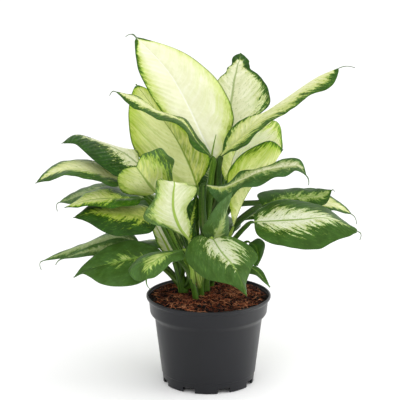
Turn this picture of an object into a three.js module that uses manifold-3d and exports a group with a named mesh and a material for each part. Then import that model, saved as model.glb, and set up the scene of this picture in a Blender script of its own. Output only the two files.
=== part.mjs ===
// Potted dieffenbachia: a charcoal grow pot of coir, five shoots with their leaf stalks, and the leaf blades.
// Millimetres, +Z up, the front toward -Y. The origin is the centre of the pot's underside.
import * as THREE from 'three';
import { mergeVertices } from 'three/addons/utils/BufferGeometryUtils.js';
import Module from 'manifold-3d';

const wasm = await Module();
wasm.setup();

// Pot
const POT_HEIGHT = 86.5;
const LIP_RADIUS = 60;
const LIP_DEPTH = 6;
const LIP_FACE = 2.6;
const LIP_WALL = 1.8;
const LIP_ROUNDING = 1.4;
const BAND_RADIUS = 57.4;
const BAND_FOOT_RADIUS = 56.3;
const BAND_FOOT_Z = 69.3;
const WALL_TOP_RADIUS = 51.8;
const WALL_TOP_Z = 64;
const WALL_FOOT_RADIUS = 45.3;
const FOOT_RING_RADIUS = 44.7;
const FOOT_RING_Z = 9.6;
const FOOT_STEP = 0.5;
const POT_FOOT_RADIUS = 43.9;
const POT_WALL = 1.6;
const FLOOR_Z = 8;
const CENTRE_PAD_RADIUS = 15;
const CENTRE_PAD_SLOPE = 4;
const POT_SEGMENTS = 32;
const FEET = 8;
const FIRST_NOTCH_DEG = 19.5;
const NOTCH_WIDTH = 12.4;
const NOTCH_HEIGHT = 5;
const DRAIN_HOLES = 6;
const DRAIN_RADIUS = 3.5;
const DRAIN_CIRCLE = 30;
const DRAIN_SIDES = 10;

// Coir
const SOIL_GAP = 0.35;
const SOIL_SLOPE_GAP = 0.65;
const SOIL_LIP_GAP = 1.4;
const SOIL_EDGE_Z = 84;
const SOIL_RISE = 3;
const SOIL_ROUGHNESS = 1.1;
const SOIL_RINGS = 5;
const SOIL_SECTORS = 28;
const SOIL_SEED = 7;

// Shoots and leaf stalks
const STEM_GAP = 0.55;
const STALK_GAP = 0.4;
const SHOOT_SIDES = 8;
const SHOOT_STEPS = 7;
const STALK_SIDES = 5;
const STALK_STEPS = 7;
const STALK_KNEE = 3;
const CANE_SAMPLES = 60;
const SHEATH_DROP = 14;
const LOWEST_SHEATH_Z = 90;
const SPEAR_RADIUS = 1.2;
const SPEAR_TIP_RADIUS = 0.4;
const SPEAR_STEPS = 4;

// Leaf blades
const BLADE_THICKNESS = 0.8;
const BLADE_STEPS = 8;
const WAVY_BLADE_STEPS = 12;
const WAVY_FROM = 0.9;
const BASE_HALF_WIDTH = 1.8;
const TIP_HALF_WIDTH = 0.7;
const RIB_HALF_WIDTH = 1.3;
const RIB_DEPTH_AT_BASE = 1.6;
const RIB_DEPTH_AT_TIP = 0.3;
const MID_COLUMN = 0.58;
const WAVE_PHASE_LEFT = 1.7;
const FULL_WAVE_WIDTH = 12;
const WIDEST_RIB_SHARE = 0.3;
const END_SHARE = 0.02;
const AHEAD_STEP = 0.01;
const THREAD_END_WIDTH = 0.5;

// Colours of the parts, and of each kind of leaf
const POT_COLOUR = 0x3c3e42;
const POT_ROUGHNESS = 0.5;
const SOIL_COLOUR = 0x6b3a28;
const SOIL_MATTNESS = 0.95;
const SHOOT_COLOUR = 0x5f8f3a;
const PLANT_ROUGHNESS = 0.45;
const LEAF_COLOURS = {
  cream: 0xd9e3a4,
  speckled: 0xc3d49a,
  lime: 0xb4cc62,
  pale: 0xcbd89a,
  narrow: 0x86a45c,
  feather: 0x4f8a42,
  green: 0x3f7a3c,
  dark: 0x3c6637,
};

// Every shoot: its axis from its foot in the coir up, and its radius at the foot and at the top.
const SHOOTS = [
  {
    name: 'main',
    axis: [[-5, 8, 58], [-5, 8, 82], [-4, 6, 117], [-2, 4, 154], [1, 4, 184], [5, 6, 210]],
    radii: [7, 4],
  },
  {
    name: 'front',
    axis: [[-11, -17, 58], [-12, -18, 85], [-14, -19, 98], [-17, -20, 108]],
    radii: [3.2, 2.6],
  },
  {
    name: 'inner',
    axis: [[-6, -7, 58], [-7, -8, 89], [-8, -10, 101], [-8, -12, 110]],
    radii: [3.2, 2.8],
  },
  {
    name: 'left',
    axis: [[-22, 8, 58], [-24, 6, 85], [-27, 6, 102], [-31, 6, 117]],
    radii: [6, 4],
  },
  {
    name: 'right',
    axis: [[0, 25, 58], [1, 24, 83], [3, 18, 103], [9, 12, 122]],
    radii: [5, 3.4],
  },
];

// The unrolled spear of the next leaf, in the crown of the main shoot.
const SPEAR = [[4, 5, 205], [3, 3, 222], [5, 3, 234], [7, 4, 243]];

// Every leaf: the points of its stalk from the shoot up, of its midrib from base to tip, and of its left and
// right edges between base and tip, seen from above with the tip ahead. The girth is the stalk's radius at
// its root and at the blade. A thread is the end of a drip tip.
const LEAVES = [
  {
    name: 'leaf_top_front', kind: 'cream', shoot: 'main',
    wave: 0, waves: 3, bulge: 0.06, girth: [3.6, 2.6],
    stalk: [[1, 7, 188], [5, 8, 206]],
    rib: [[6, 11, 216], [-7, 17, 241], [-20, 22, 268], [-39, 32, 299], [-71, 44, 331]],
    left: [[-5, 16, 227], [-21, 19, 248], [-40, 21, 257], [-56, 27, 278], [-68, 38, 302]],
    right: [[15, 14, 223], [20, 16, 239], [24, 18, 258], [10, 20, 290], [-23, 33, 316]],
    thread: [-79, 42, 330],
  },
  {
    name: 'leaf_top_back', kind: 'speckled', shoot: 'main',
    wave: 1.6, waves: 3, bulge: 0.06, girth: [3.6, 1.7],
    stalk: [[4, 12, 177], [10, 18, 205]],
    rib: [[15, 24, 231], [20, 36, 257], [23, 42, 276], [25, 44, 289],
          [27, 46, 297], [28, 47, 302], [30, 48, 307], [31, 50, 313]],
    left: [[-1, 30, 251], [2, 38, 277], [12, 43, 290], [18, 46, 298], [22, 48, 302], [23, 49, 309]],
    right: [[47, 40, 253], [60, 42, 268], [55, 44, 284], [47, 45, 293], [39, 47, 300], [39, 49, 306]],
    thread: null,
  },
  {
    name: 'leaf_long_right', kind: 'cream', shoot: 'main',
    wave: 0.8, waves: 3, bulge: 0.06, girth: [4, 3.2],
    stalk: [[7, 4, 175], [9, 2, 203]],
    rib: [[12, 0, 223], [28, 3, 238], [48, 6, 258], [76, 9, 279], [103, 12, 297], [124, 13, 306]],
    left: [[17, 6, 243], [34, 12, 257], [55, 16, 262], [80, 18, 274], [106, 16, 293]],
    right: [[30, -16, 234], [50, -17, 253], [73, -13, 268], [93, -8, 282], [116, 0, 291]],
    thread: [138, 12, 306],
  },
  {
    name: 'leaf_boat_right', kind: 'lime', shoot: 'right',
    wave: 0, waves: 3, bulge: 0.06, girth: [3.6, 1.7],
    stalk: [[0, 18, 105], [16, 8, 133]],
    rib: [[24, 4, 153], [34, 6, 178], [44, 8, 194], [57, 8, 206], [71, 6, 228]],
    left: [[20, -1, 174], [19, 0, 208], [33, 0, 226], [58, 0, 238]],
    right: [[21, 12, 185], [23, 20, 216], [40, 24, 242], [65, 22, 252]],
    thread: null,
  },
  {
    name: 'leaf_wavy_right', kind: 'narrow', shoot: 'main',
    wave: 1.2, waves: 3, bulge: 0.06, girth: [4.4, 3.4],
    stalk: [[-5, -3, 157], [-6, -7, 182]],
    rib: [[-2, -9, 197], [14, -13, 196], [32, -15, 204], [52, -17, 213],
          [70, -19, 217], [84, -21, 218], [92, -23, 209]],
    left: [[8, -6, 196], [21, -7, 200], [31, -7, 210], [43, -8, 213],
           [58, -9, 216], [72, -10, 223], [86, -15, 224]],
    right: [[2, -16, 190], [10, -23, 184], [20, -29, 188], [32, -33, 200],
            [46, -36, 203], [59, -37, 210], [71, -36, 211], [82, -31, 217]],
    thread: [94, -22, 200],
  },
  {
    name: 'leaf_big_right', kind: 'feather', shoot: 'right',
    wave: 0.6, waves: 3, bulge: 0.06, girth: [3.6, 2.4],
    stalk: [[3, 14, 101], [24, -1, 141]],
    rib: [[43, -14, 162], [63, -18, 164], [86, -24, 167], [111, -30, 170], [141, -38, 159]],
    left: [[45, -3, 169], [72, 3, 180], [104, 0, 176], [130, -20, 165]],
    right: [[46, -36, 155], [72, -48, 147], [102, -54, 147], [126, -48, 156]],
    thread: [142, -38, 151],
  },
  {
    name: 'leaf_dark_right', kind: 'dark', shoot: 'right',
    wave: 0, waves: 3, bulge: 0.06, girth: [4.4, 3.2],
    stalk: [[3, 20, 105], [25, 9, 152], [38, 7, 165]],
    rib: [[51, 6, 173], [69, 14, 177], [88, 19, 178], [105, 21, 179], [119, 20, 185]],
    left: [[47, 22, 180], [62, 30, 182], [85, 35, 183], [106, 32, 183]],
    right: [[59, 5, 173], [78, 12, 172], [96, 14, 170], [113, 14, 173]],
    thread: [121, 18, 184],
  },
  {
    name: 'leaf_far_right', kind: 'dark', shoot: 'right',
    wave: 0, waves: 3, bulge: 0.06, girth: [3.8, 2.6],
    stalk: [[4, 30, 110], [21, 33, 163], [48, 40, 167]],
    rib: [[82, 44, 166], [99, 48, 165], [116, 52, 163], [129, 54, 158], [141, 56, 151]],
    left: [[90, 66, 173], [106, 72, 173], [122, 70, 165], [135, 62, 157]],
    right: [[87, 30, 160], [103, 34, 157], [119, 40, 159], [134, 50, 153]],
    thread: [146, 56, 141],
  },
  {
    name: 'leaf_heart_front', kind: 'feather', shoot: 'inner',
    wave: 0.5, waves: 3, bulge: 0.06, girth: [2.8, 1.8],
    stalk: [[-8, -14, 113], [-2, -18, 134]],
    rib: [[4, -36, 151], [12, -50, 142], [21, -62, 135], [27, -70, 127], [35, -80, 109]],
    left: [[20, -38, 155], [46, -46, 138], [39, -58, 128], [35, -68, 117]],
    right: [[-12, -31, 153], [-22, -44, 137], [-5, -60, 121], [22, -70, 116]],
    thread: null,
  },
  {
    name: 'leaf_pale_front', kind: 'pale', shoot: 'inner',
    wave: 1, waves: 3, bulge: 0.03, girth: [2.8, 2],
    stalk: [[-11, -14, 109], [-13, -17, 127]],
    rib: [[-19, -24, 148], [-27, -34, 162], [-33, -45, 183],
          [-33, -52, 200], [-32, -56, 211], [-38, -46, 209]],
    left: [[-16, -26, 159], [-20, -34, 181], [-11, -44, 203], [-20, -52, 208]],
    right: [[-38, -34, 161], [-61, -44, 173], [-50, -50, 197], [-48, -54, 213]],
    thread: null,
  },
  {
    name: 'leaf_curl_left', kind: 'pale', shoot: 'left',
    wave: 0, waves: 3, bulge: 0.05, girth: [3.6, 1.7],
    stalk: [[-15, 0, 98], [-35, -10, 148]],
    rib: [[-49, -24, 193], [-55, -34, 203], [-61, -46, 215], [-67, -60, 228]],
    left: [[-35, -25, 202], [-34, -32, 216], [-32, -38, 228], [-38, -44, 235],
           [-45, -50, 243], [-54, -56, 240], [-62, -60, 237]],
    right: [[-59, -20, 189], [-71, -23, 191], [-81, -26, 194],
            [-85, -32, 203], [-85, -40, 213], [-78, -50, 223]],
    thread: null,
  },
  {
    name: 'leaf_tall_left', kind: 'lime', shoot: 'main',
    wave: 0, waves: 3, bulge: 0.06, girth: [3.6, 1.7],
    stalk: [[-1, 10, 146], [-6, 9, 171]],
    rib: [[-11, 8, 192], [-19, 14, 213], [-32, 26, 236], [-51, 40, 259], [-70, 52, 282]],
    left: [[-30, 12, 188], [-70, 26, 221], [-77, 36, 251], [-75, 46, 271]],
    right: [[3, 2, 219], [-6, 8, 232], [-24, 17, 247], [-41, 34, 254], [-58, 50, 277]],
    thread: null,
  },
  {
    name: 'leaf_arch_left', kind: 'narrow', shoot: 'main',
    wave: 0.8, waves: 3, bulge: 0.06, girth: [3.6, 3.2],
    stalk: [[0, 4, 179], [3, 1, 204]],
    rib: [[3, -8, 224], [-10, -14, 239], [-25, -18, 260],
          [-50, -22, 271], [-70, -27, 284], [-87, -31, 292]],
    left: [[-14, -24, 237], [-26, -34, 260], [-49, -38, 268], [-69, -38, 278]],
    right: [[-5, -5, 237], [-23, -4, 259], [-49, -6, 269], [-70, -14, 284]],
    thread: [-92, -31, 288],
  },
  {
    name: 'leaf_left_1', kind: 'dark', shoot: 'left',
    wave: 0, waves: 3, bulge: 0.06, girth: [3.6, 1.7],
    stalk: [[-16, 14, 106], [-35, 4, 174]],
    rib: [[-65, -2, 214], [-80, 2, 225], [-96, 6, 232],
          [-111, 8, 237], [-128, 10, 241], [-140, 10, 233]],
    left: [[-85, -22, 208], [-98, -22, 217], [-113, -16, 227], [-125, -4, 235]],
    right: [[-70, 24, 223], [-86, 30, 223], [-103, 30, 228], [-120, 22, 237]],
    thread: null,
  },
  {
    name: 'leaf_left_2', kind: 'narrow', shoot: 'left',
    wave: 0.6, waves: 3, bulge: 0.06, girth: [3.6, 1.7],
    stalk: [[-18, 6, 104], [-44, -4, 166]],
    rib: [[-78, -8, 200], [-96, -12, 206], [-112, -18, 213],
          [-128, -22, 216], [-145, -28, 213], [-162, -34, 205]],
    left: [[-91, -30, 201], [-110, -38, 209], [-130, -42, 214], [-148, -40, 210]],
    right: [[-92, 14, 211], [-113, 12, 216], [-134, 2, 219], [-151, -16, 215]],
    thread: null,
  },
  {
    name: 'leaf_left_3', kind: 'lime', shoot: 'left',
    wave: 0.6, waves: 3, bulge: 0.06, girth: [3.6, 1.7],
    stalk: [[-18, 0, 100], [-41, -12, 159]],
    rib: [[-63, -22, 187], [-80, -26, 188], [-96, -30, 189],
          [-114, -34, 188], [-127, -38, 185], [-135, -40, 183]],
    left: [[-68, -40, 186], [-85, -46, 185], [-102, -50, 187], [-120, -46, 185]],
    right: [[-74, -2, 187], [-94, 0, 193], [-112, -8, 191], [-124, -24, 185]],
    thread: null,
  },
  {
    name: 'leaf_left_back_1', kind: 'dark', shoot: 'left',
    wave: 0, waves: 3, bulge: 0.06, girth: [3.6, 1.7],
    stalk: [[-16, 18, 105], [-37, 16, 161]],
    rib: [[-68, 16, 185], [-87, 18, 185], [-106, 20, 184],
          [-124, 22, 179], [-137, 22, 174], [-144, 22, 172]],
    left: [[-75, -2, 181], [-96, 2, 178], [-115, 6, 175], [-132, 14, 172]],
    right: [[-78, 36, 191], [-97, 40, 188], [-117, 40, 183], [-135, 32, 178]],
    thread: [-146, 22, 163],
  },
  {
    name: 'leaf_left_4', kind: 'feather', shoot: 'left',
    wave: 0.6, waves: 3, bulge: 0.06, girth: [3.6, 1.7],
    stalk: [[-25, 0, 115], [-37, -14, 144]],
    rib: [[-48, -26, 164], [-64, -30, 171], [-79, -34, 175],
          [-95, -40, 178], [-109, -44, 179], [-126, -50, 176]],
    left: [[-55, -37, 158], [-77, -50, 158], [-97, -58, 164], [-115, -54, 174]],
    right: [[-56, -8, 175], [-77, -8, 179], [-97, -16, 181], [-114, -34, 182]],
    thread: null,
  },
  {
    name: 'leaf_left_low_back', kind: 'dark', shoot: 'left',
    wave: 0, waves: 3, bulge: 0.06, girth: [3.6, 1.7],
    stalk: [[-35, 20, 101], [-51, 20, 118]],
    rib: [[-66, 18, 131], [-83, 20, 136], [-101, 22, 135],
          [-122, 24, 128], [-142, 26, 120], [-162, 26, 112]],
    left: [[-74, 13, 127], [-91, 13, 126], [-113, 16, 123], [-136, 20, 117]],
    right: [[-75, 34, 138], [-94, 40, 138], [-120, 36, 127], [-144, 30, 120]],
    thread: [-163, 26, 103],
  },
  {
    name: 'leaf_left_low_mid', kind: 'dark', shoot: 'left',
    wave: 0, waves: 3, bulge: 0.06, girth: [3.6, 1.7],
    stalk: [[-37, 11, 103], [-50, 7, 116]],
    rib: [[-65, 4, 130], [-78, 4, 132], [-93, 4, 132], [-110, 2, 130], [-127, 0, 126], [-141, -2, 122]],
    left: [[-70, -3, 124], [-89, -5, 125], [-110, -5, 126], [-129, -5, 124]],
    right: [[-72, 9, 137], [-87, 9, 140], [-107, 7, 135], [-125, 3, 129]],
    thread: [-147, -2, 116],
  },
  {
    name: 'leaf_left_low_front', kind: 'green', shoot: 'front',
    wave: 0, waves: 3, bulge: 0.06, girth: [2.6, 1.8],
    stalk: [[-19, -19, 112], [-24, -18, 121], [-33, -13, 127]],
    rib: [[-42, -10, 129], [-60, -14, 128], [-77, -18, 126],
          [-94, -22, 123], [-110, -26, 120], [-128, -30, 112]],
    left: [[-54, -30, 113], [-78, -40, 106], [-101, -42, 109], [-118, -34, 116]],
    right: [[-51, -7, 136], [-78, -6, 142], [-103, -12, 133], [-118, -22, 123]],
    thread: null,
  },
  {
    name: 'leaf_curl_front', kind: 'feather', shoot: 'front',
    wave: 0, waves: 3, bulge: 0.1, girth: [2.6, 1.6],
    stalk: [[-16, -22, 117], [-20, -26, 133]],
    rib: [[-25, -30, 139], [-36, -40, 138], [-47, -52, 137], [-56, -62, 131], [-58, -66, 121]],
    left: [[-23, -40, 134], [-34, -50, 133], [-42, -58, 127], [-51, -64, 122]],
    right: [[-44, -28, 136], [-66, -38, 134], [-75, -50, 125], [-67, -62, 118]],
    thread: [-54, -64, 110],
  },
  {
    name: 'leaf_small_centre', kind: 'dark', shoot: 'inner',
    wave: 0, waves: 3, bulge: 0.06, girth: [2.8, 1.6],
    stalk: [[-4, -12, 114], [1, -16, 131]],
    rib: [[4, -21, 144], [9, -29, 158], [14, -36, 171], [18, -41, 184], [22, -46, 199]],
    left: [[-6, -31, 157], [1, -43, 175], [9, -49, 190], [18, -49, 197]],
    right: [[17, -20, 148], [19, -28, 164], [17, -37, 181], [20, -43, 192]],
    thread: null,
  },
  {
    name: 'leaf_low_right', kind: 'green', shoot: 'right',
    wave: 0, waves: 3, bulge: 0.06, girth: [3.6, 1.7],
    stalk: [[9, 4, 107], [23, -14, 119]],
    rib: [[38, -24, 121], [45, -28, 118], [51, -32, 112], [58, -36, 104]],
    left: [[44, -22, 121], [51, -26, 117], [55, -32, 111]],
    right: [[36, -30, 117], [45, -34, 115], [52, -36, 109]],
    thread: null,
  },
  {
    name: 'leaf_low_right_back', kind: 'dark', shoot: 'right',
    wave: 0, waves: 3, bulge: 0.06, girth: [3.6, 1.7],
    stalk: [[2, 24, 91], [21, 14, 121]],
    rib: [[40, 10, 135], [45, 6, 133], [47, 0, 128], [48, -6, 122], [47, -8, 117]],
    left: [[48, 16, 138], [54, 12, 134], [53, 4, 127], [50, -4, 122]],
    right: [[36, 4, 129], [38, -2, 124], [42, -6, 119], [44, -8, 117]],
    thread: null,
  },
  {
    name: 'leaf_left_inner', kind: 'pale', shoot: 'left',
    wave: 0, waves: 3, bulge: 0.06, girth: [3.6, 1.7],
    stalk: [[-31, 20, 109]],
    rib: [[-35, 25, 116], [-42, 28, 130], [-49, 30, 143], [-56, 31, 159]],
    left: [[-47, 28, 123], [-52, 31, 134], [-56, 33, 146]],
    right: [[-27, 28, 127], [-28, 29, 139], [-37, 27, 156]],
    thread: null,
  },
  {
    name: 'leaf_inner_centre', kind: 'dark', shoot: 'main',
    wave: 0, waves: 3, bulge: 0.06, girth: [3.6, 1.7],
    stalk: [[-14, -2, 118]],
    rib: [[-19, -7, 135], [-19, -8, 153], [-15, -6, 169], [-11, -4, 186]],
    left: [[-23, -9, 143], [-24, -10, 159], [-21, -9, 175]],
    right: [[-11, -6, 143], [-13, -5, 154], [-8, -1, 164], [-8, -1, 175]],
    thread: null,
  },
  {
    name: 'leaf_rear_left_high', kind: 'feather', shoot: 'main',
    wave: 0, waves: 3, bulge: 0.06, girth: [3.6, 1.7],
    stalk: [[-9, 12, 128], [-12, 22, 164]],
    rib: [[-14, 30, 196], [-26, 54, 212], [-42, 80, 219], [-58, 108, 214]],
    left: [[-38, 42, 202], [-58, 68, 210], [-64, 94, 212]],
    right: [[-4, 56, 212], [-14, 84, 220], [-40, 104, 218]],
    thread: null,
  },
  {
    name: 'leaf_rear_right_high', kind: 'lime', shoot: 'right',
    wave: 0, waves: 3, bulge: 0.06, girth: [3.6, 1.7],
    stalk: [[11, 18, 126], [15, 26, 158]],
    rib: [[16, 32, 192], [28, 56, 205], [42, 82, 209], [58, 110, 200]],
    left: [[8, 56, 205], [18, 84, 210], [42, 104, 206]],
    right: [[38, 44, 196], [56, 68, 199], [60, 94, 200]],
    thread: null,
  },
  {
    name: 'leaf_rear_centre', kind: 'feather', shoot: 'main',
    wave: 0, waves: 3, bulge: 0.06, girth: [3.6, 1.7],
    stalk: [[-7, 18, 116], [-5, 28, 148]],
    rib: [[0, 36, 176], [2, 60, 190], [3, 90, 194], [4, 124, 182]],
    left: [[-20, 56, 184], [-24, 84, 188], [-12, 110, 186]],
    right: [[22, 56, 184], [26, 84, 188], [16, 110, 186]],
    thread: null,
  },
  {
    name: 'leaf_rear_left_low', kind: 'dark', shoot: 'left',
    wave: 0, waves: 3, bulge: 0.06, girth: [3.6, 1.7],
    stalk: [[-27, 20, 124]],
    rib: [[-26, 34, 158], [-46, 50, 168], [-68, 68, 168], [-92, 88, 154]],
    left: [[-46, 32, 160], [-72, 48, 160], [-88, 68, 156]],
    right: [[-32, 62, 164], [-52, 84, 162], [-76, 92, 157]],
    thread: null,
  },
  {
    name: 'leaf_rear_right_low', kind: 'green', shoot: 'right',
    wave: 0, waves: 3, bulge: 0.06, girth: [3.6, 1.7],
    stalk: [[8, 26, 112]],
    rib: [[10, 36, 132], [12, 62, 142], [14, 92, 142], [16, 122, 126]],
    left: [[-6, 58, 138], [-8, 86, 136], [4, 110, 130]],
    right: [[29, 56, 136], [32, 84, 134], [25, 108, 129]],
    thread: null,
  },
  {
    name: 'leaf_rear_right_mid', kind: 'feather', shoot: 'right',
    wave: 0, waves: 3, bulge: 0.06, girth: [3.6, 1.7],
    stalk: [[9, 22, 124], [18, 28, 140]],
    rib: [[30, 34, 150], [50, 50, 158], [72, 70, 156], [96, 90, 140]],
    left: [[38, 52, 154], [56, 72, 157], [76, 88, 150]],
    right: [[50, 38, 152], [72, 54, 154], [90, 74, 146]],
    thread: null,
  },
  {
    name: 'leaf_rear_left_mid', kind: 'lime', shoot: 'main',
    wave: 0, waves: 3, bulge: 0.06, girth: [3.6, 1.7],
    stalk: [[-12, 20, 116], [-19, 30, 132]],
    rib: [[-22, 40, 142], [-30, 62, 150], [-38, 88, 147], [-46, 112, 130]],
    left: [[-44, 58, 147], [-56, 82, 144], [-58, 102, 133]],
    right: [[-14, 64, 149], [-18, 90, 146], [-30, 108, 134]],
    thread: null,
  },
  {
    name: 'leaf_rear_left_bottom', kind: 'green', shoot: 'left',
    wave: 0, waves: 3, bulge: 0.06, girth: [3.6, 1.7],
    stalk: [[-30, 24, 108]],
    rib: [[-34, 34, 118], [-50, 52, 124], [-68, 74, 118], [-82, 96, 100]],
    left: [[-54, 40, 122], [-76, 60, 118], [-86, 82, 106]],
    right: [[-38, 58, 122], [-52, 82, 116], [-70, 98, 104]],
    thread: null,
  },
];

const vector = (point) => new THREE.Vector3(...point);
const curveThrough = (points) => new THREE.CatmullRomCurve3(points.map(vector));
const mix = (a, b, t) => a + (b - a) * t;

function geometryOf(vertices, triangles) {
  const geometry = new THREE.BufferGeometry();
  geometry.setAttribute('position', new THREE.BufferAttribute(new Float32Array(vertices), 3));
  geometry.setIndex(triangles);
  return geometry;
}

function toSolid(geometry) {
  const bare = geometry.clone();
  bare.deleteAttribute('normal');
  bare.deleteAttribute('uv');
  const merged = mergeVertices(bare, 1e-4);
  return new wasm.Manifold(new wasm.Mesh({
    numProp: 3,
    vertProperties: merged.attributes.position.array,
    triVerts: new Uint32Array(merged.index.array),
  }));
}

function toGeometry(solid) {
  const mesh = solid.getMesh();
  return geometryOf(mesh.vertProperties, Array.from(mesh.triVerts));
}

function namedMesh(name, geometry, colour, roughness) {
  geometry.computeVertexNormals();
  const material = new THREE.MeshStandardMaterial({ color: colour, roughness, metalness: 0 });
  const mesh = new THREE.Mesh(geometry, material);
  mesh.name = name;
  return mesh;
}

// A seeded draw between 0 and 1, the same on every run.
function makeDraw(seed) {
  let state = seed;
  return () => {
    state = (state * 1664525 + 1013904223) % 4294967296;
    return state / 4294967296;
  };
}

// A closed tube with round sections whose radius changes along the curve.
function taperedTube(curve, radiusAt, sides, steps) {
  const vertices = [];
  const triangles = [];
  const frames = curve.computeFrenetFrames(steps, false);
  for (let i = 0; i <= steps; i++) {
    const centre = curve.getPointAt(i / steps);
    for (let k = 0; k < sides; k++) {
      const angle = (2 * Math.PI * k) / sides;
      const out = frames.normals[i].clone().multiplyScalar(Math.cos(angle));
      out.addScaledVector(frames.binormals[i], Math.sin(angle));
      vertices.push(...centre.clone().addScaledVector(out, radiusAt(i / steps)).toArray());
    }
  }
  for (let i = 0; i < steps; i++) {
    for (let k = 0; k < sides; k++) {
      const a = i * sides + k;
      const b = i * sides + ((k + 1) % sides);
      triangles.push(a, b, b + sides, a, b + sides, a + sides);
    }
  }
  const last = steps * sides;
  for (let k = 1; k < sides - 1; k++) {
    triangles.push(0, k + 1, k, last, last + k, last + k + 1);
  }
  return geometryOf(vertices, triangles);
}

// The pot's section: up the outside from the axis, over the lip and down the inside.
function potProfile() {
  const lipZ = POT_HEIGHT - LIP_DEPTH;
  const flareZ = lipZ + LIP_ROUNDING;
  const faceZ = POT_HEIGHT - LIP_FACE;
  const innerLip = LIP_RADIUS - LIP_WALL;
  const innerBand = BAND_RADIUS - POT_WALL;
  const padInner = CENTRE_PAD_RADIUS - POT_WALL;
  const floorTop = FLOOR_Z + POT_WALL;
  const outside = [
    [0, 0], [CENTRE_PAD_RADIUS, 0], [CENTRE_PAD_RADIUS + CENTRE_PAD_SLOPE, FLOOR_Z],
    [POT_FOOT_RADIUS - 2 * POT_WALL, FLOOR_Z], [POT_FOOT_RADIUS - POT_WALL, 0], [POT_FOOT_RADIUS, 0],
    [FOOT_RING_RADIUS, FOOT_RING_Z], [WALL_FOOT_RADIUS, FOOT_RING_Z + FOOT_STEP],
    [WALL_TOP_RADIUS, WALL_TOP_Z], [BAND_FOOT_RADIUS, BAND_FOOT_Z], [BAND_RADIUS, lipZ],
  ];
  const lip = [
    [BAND_RADIUS + LIP_ROUNDING / 2, flareZ], [LIP_RADIUS, faceZ],
    [LIP_RADIUS, POT_HEIGHT - LIP_ROUNDING / 2], [LIP_RADIUS - LIP_ROUNDING / 2, POT_HEIGHT],
    [innerLip, POT_HEIGHT], [innerLip, faceZ + POT_WALL / 2],
    [innerBand + LIP_ROUNDING / 2, flareZ + POT_WALL / 2], [innerBand, lipZ],
  ];
  const inside = [
    [BAND_FOOT_RADIUS - POT_WALL, BAND_FOOT_Z], [WALL_TOP_RADIUS - POT_WALL, WALL_TOP_Z],
    [WALL_FOOT_RADIUS - POT_WALL, floorTop + POT_WALL], [WALL_FOOT_RADIUS - 2 * POT_WALL, floorTop],
    [padInner + CENTRE_PAD_SLOPE, floorTop], [padInner, POT_WALL], [0, POT_WALL],
  ];
  return [...outside, ...lip, ...inside].map(([radius, z]) => new THREE.Vector2(radius, z));
}

function makePot() {
  const lathe = new THREE.LatheGeometry(potProfile(), POT_SEGMENTS);
  lathe.rotateX(Math.PI / 2);
  let solid = toSolid(lathe);
  for (let i = 0; i < FEET; i++) {
    const notch = new THREE.BoxGeometry(NOTCH_WIDTH, 6 * POT_WALL, 2 * NOTCH_HEIGHT);
    notch.translate(0, -POT_FOOT_RADIUS, 0);
    notch.rotateZ(THREE.MathUtils.degToRad(FIRST_NOTCH_DEG + (360 / FEET) * i));
    solid = solid.subtract(toSolid(notch));
  }
  for (let i = 0; i < DRAIN_HOLES; i++) {
    const drain = new THREE.CylinderGeometry(DRAIN_RADIUS, DRAIN_RADIUS, 4 * POT_WALL, DRAIN_SIDES);
    drain.rotateX(Math.PI / 2);
    drain.translate(0, -DRAIN_CIRCLE, FLOOR_Z + POT_WALL / 2);
    drain.rotateZ((2 * Math.PI * i) / DRAIN_HOLES);
    solid = solid.subtract(toSolid(drain));
  }
  return namedMesh('pot', toGeometry(solid), POT_COLOUR, POT_ROUGHNESS);
}

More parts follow.
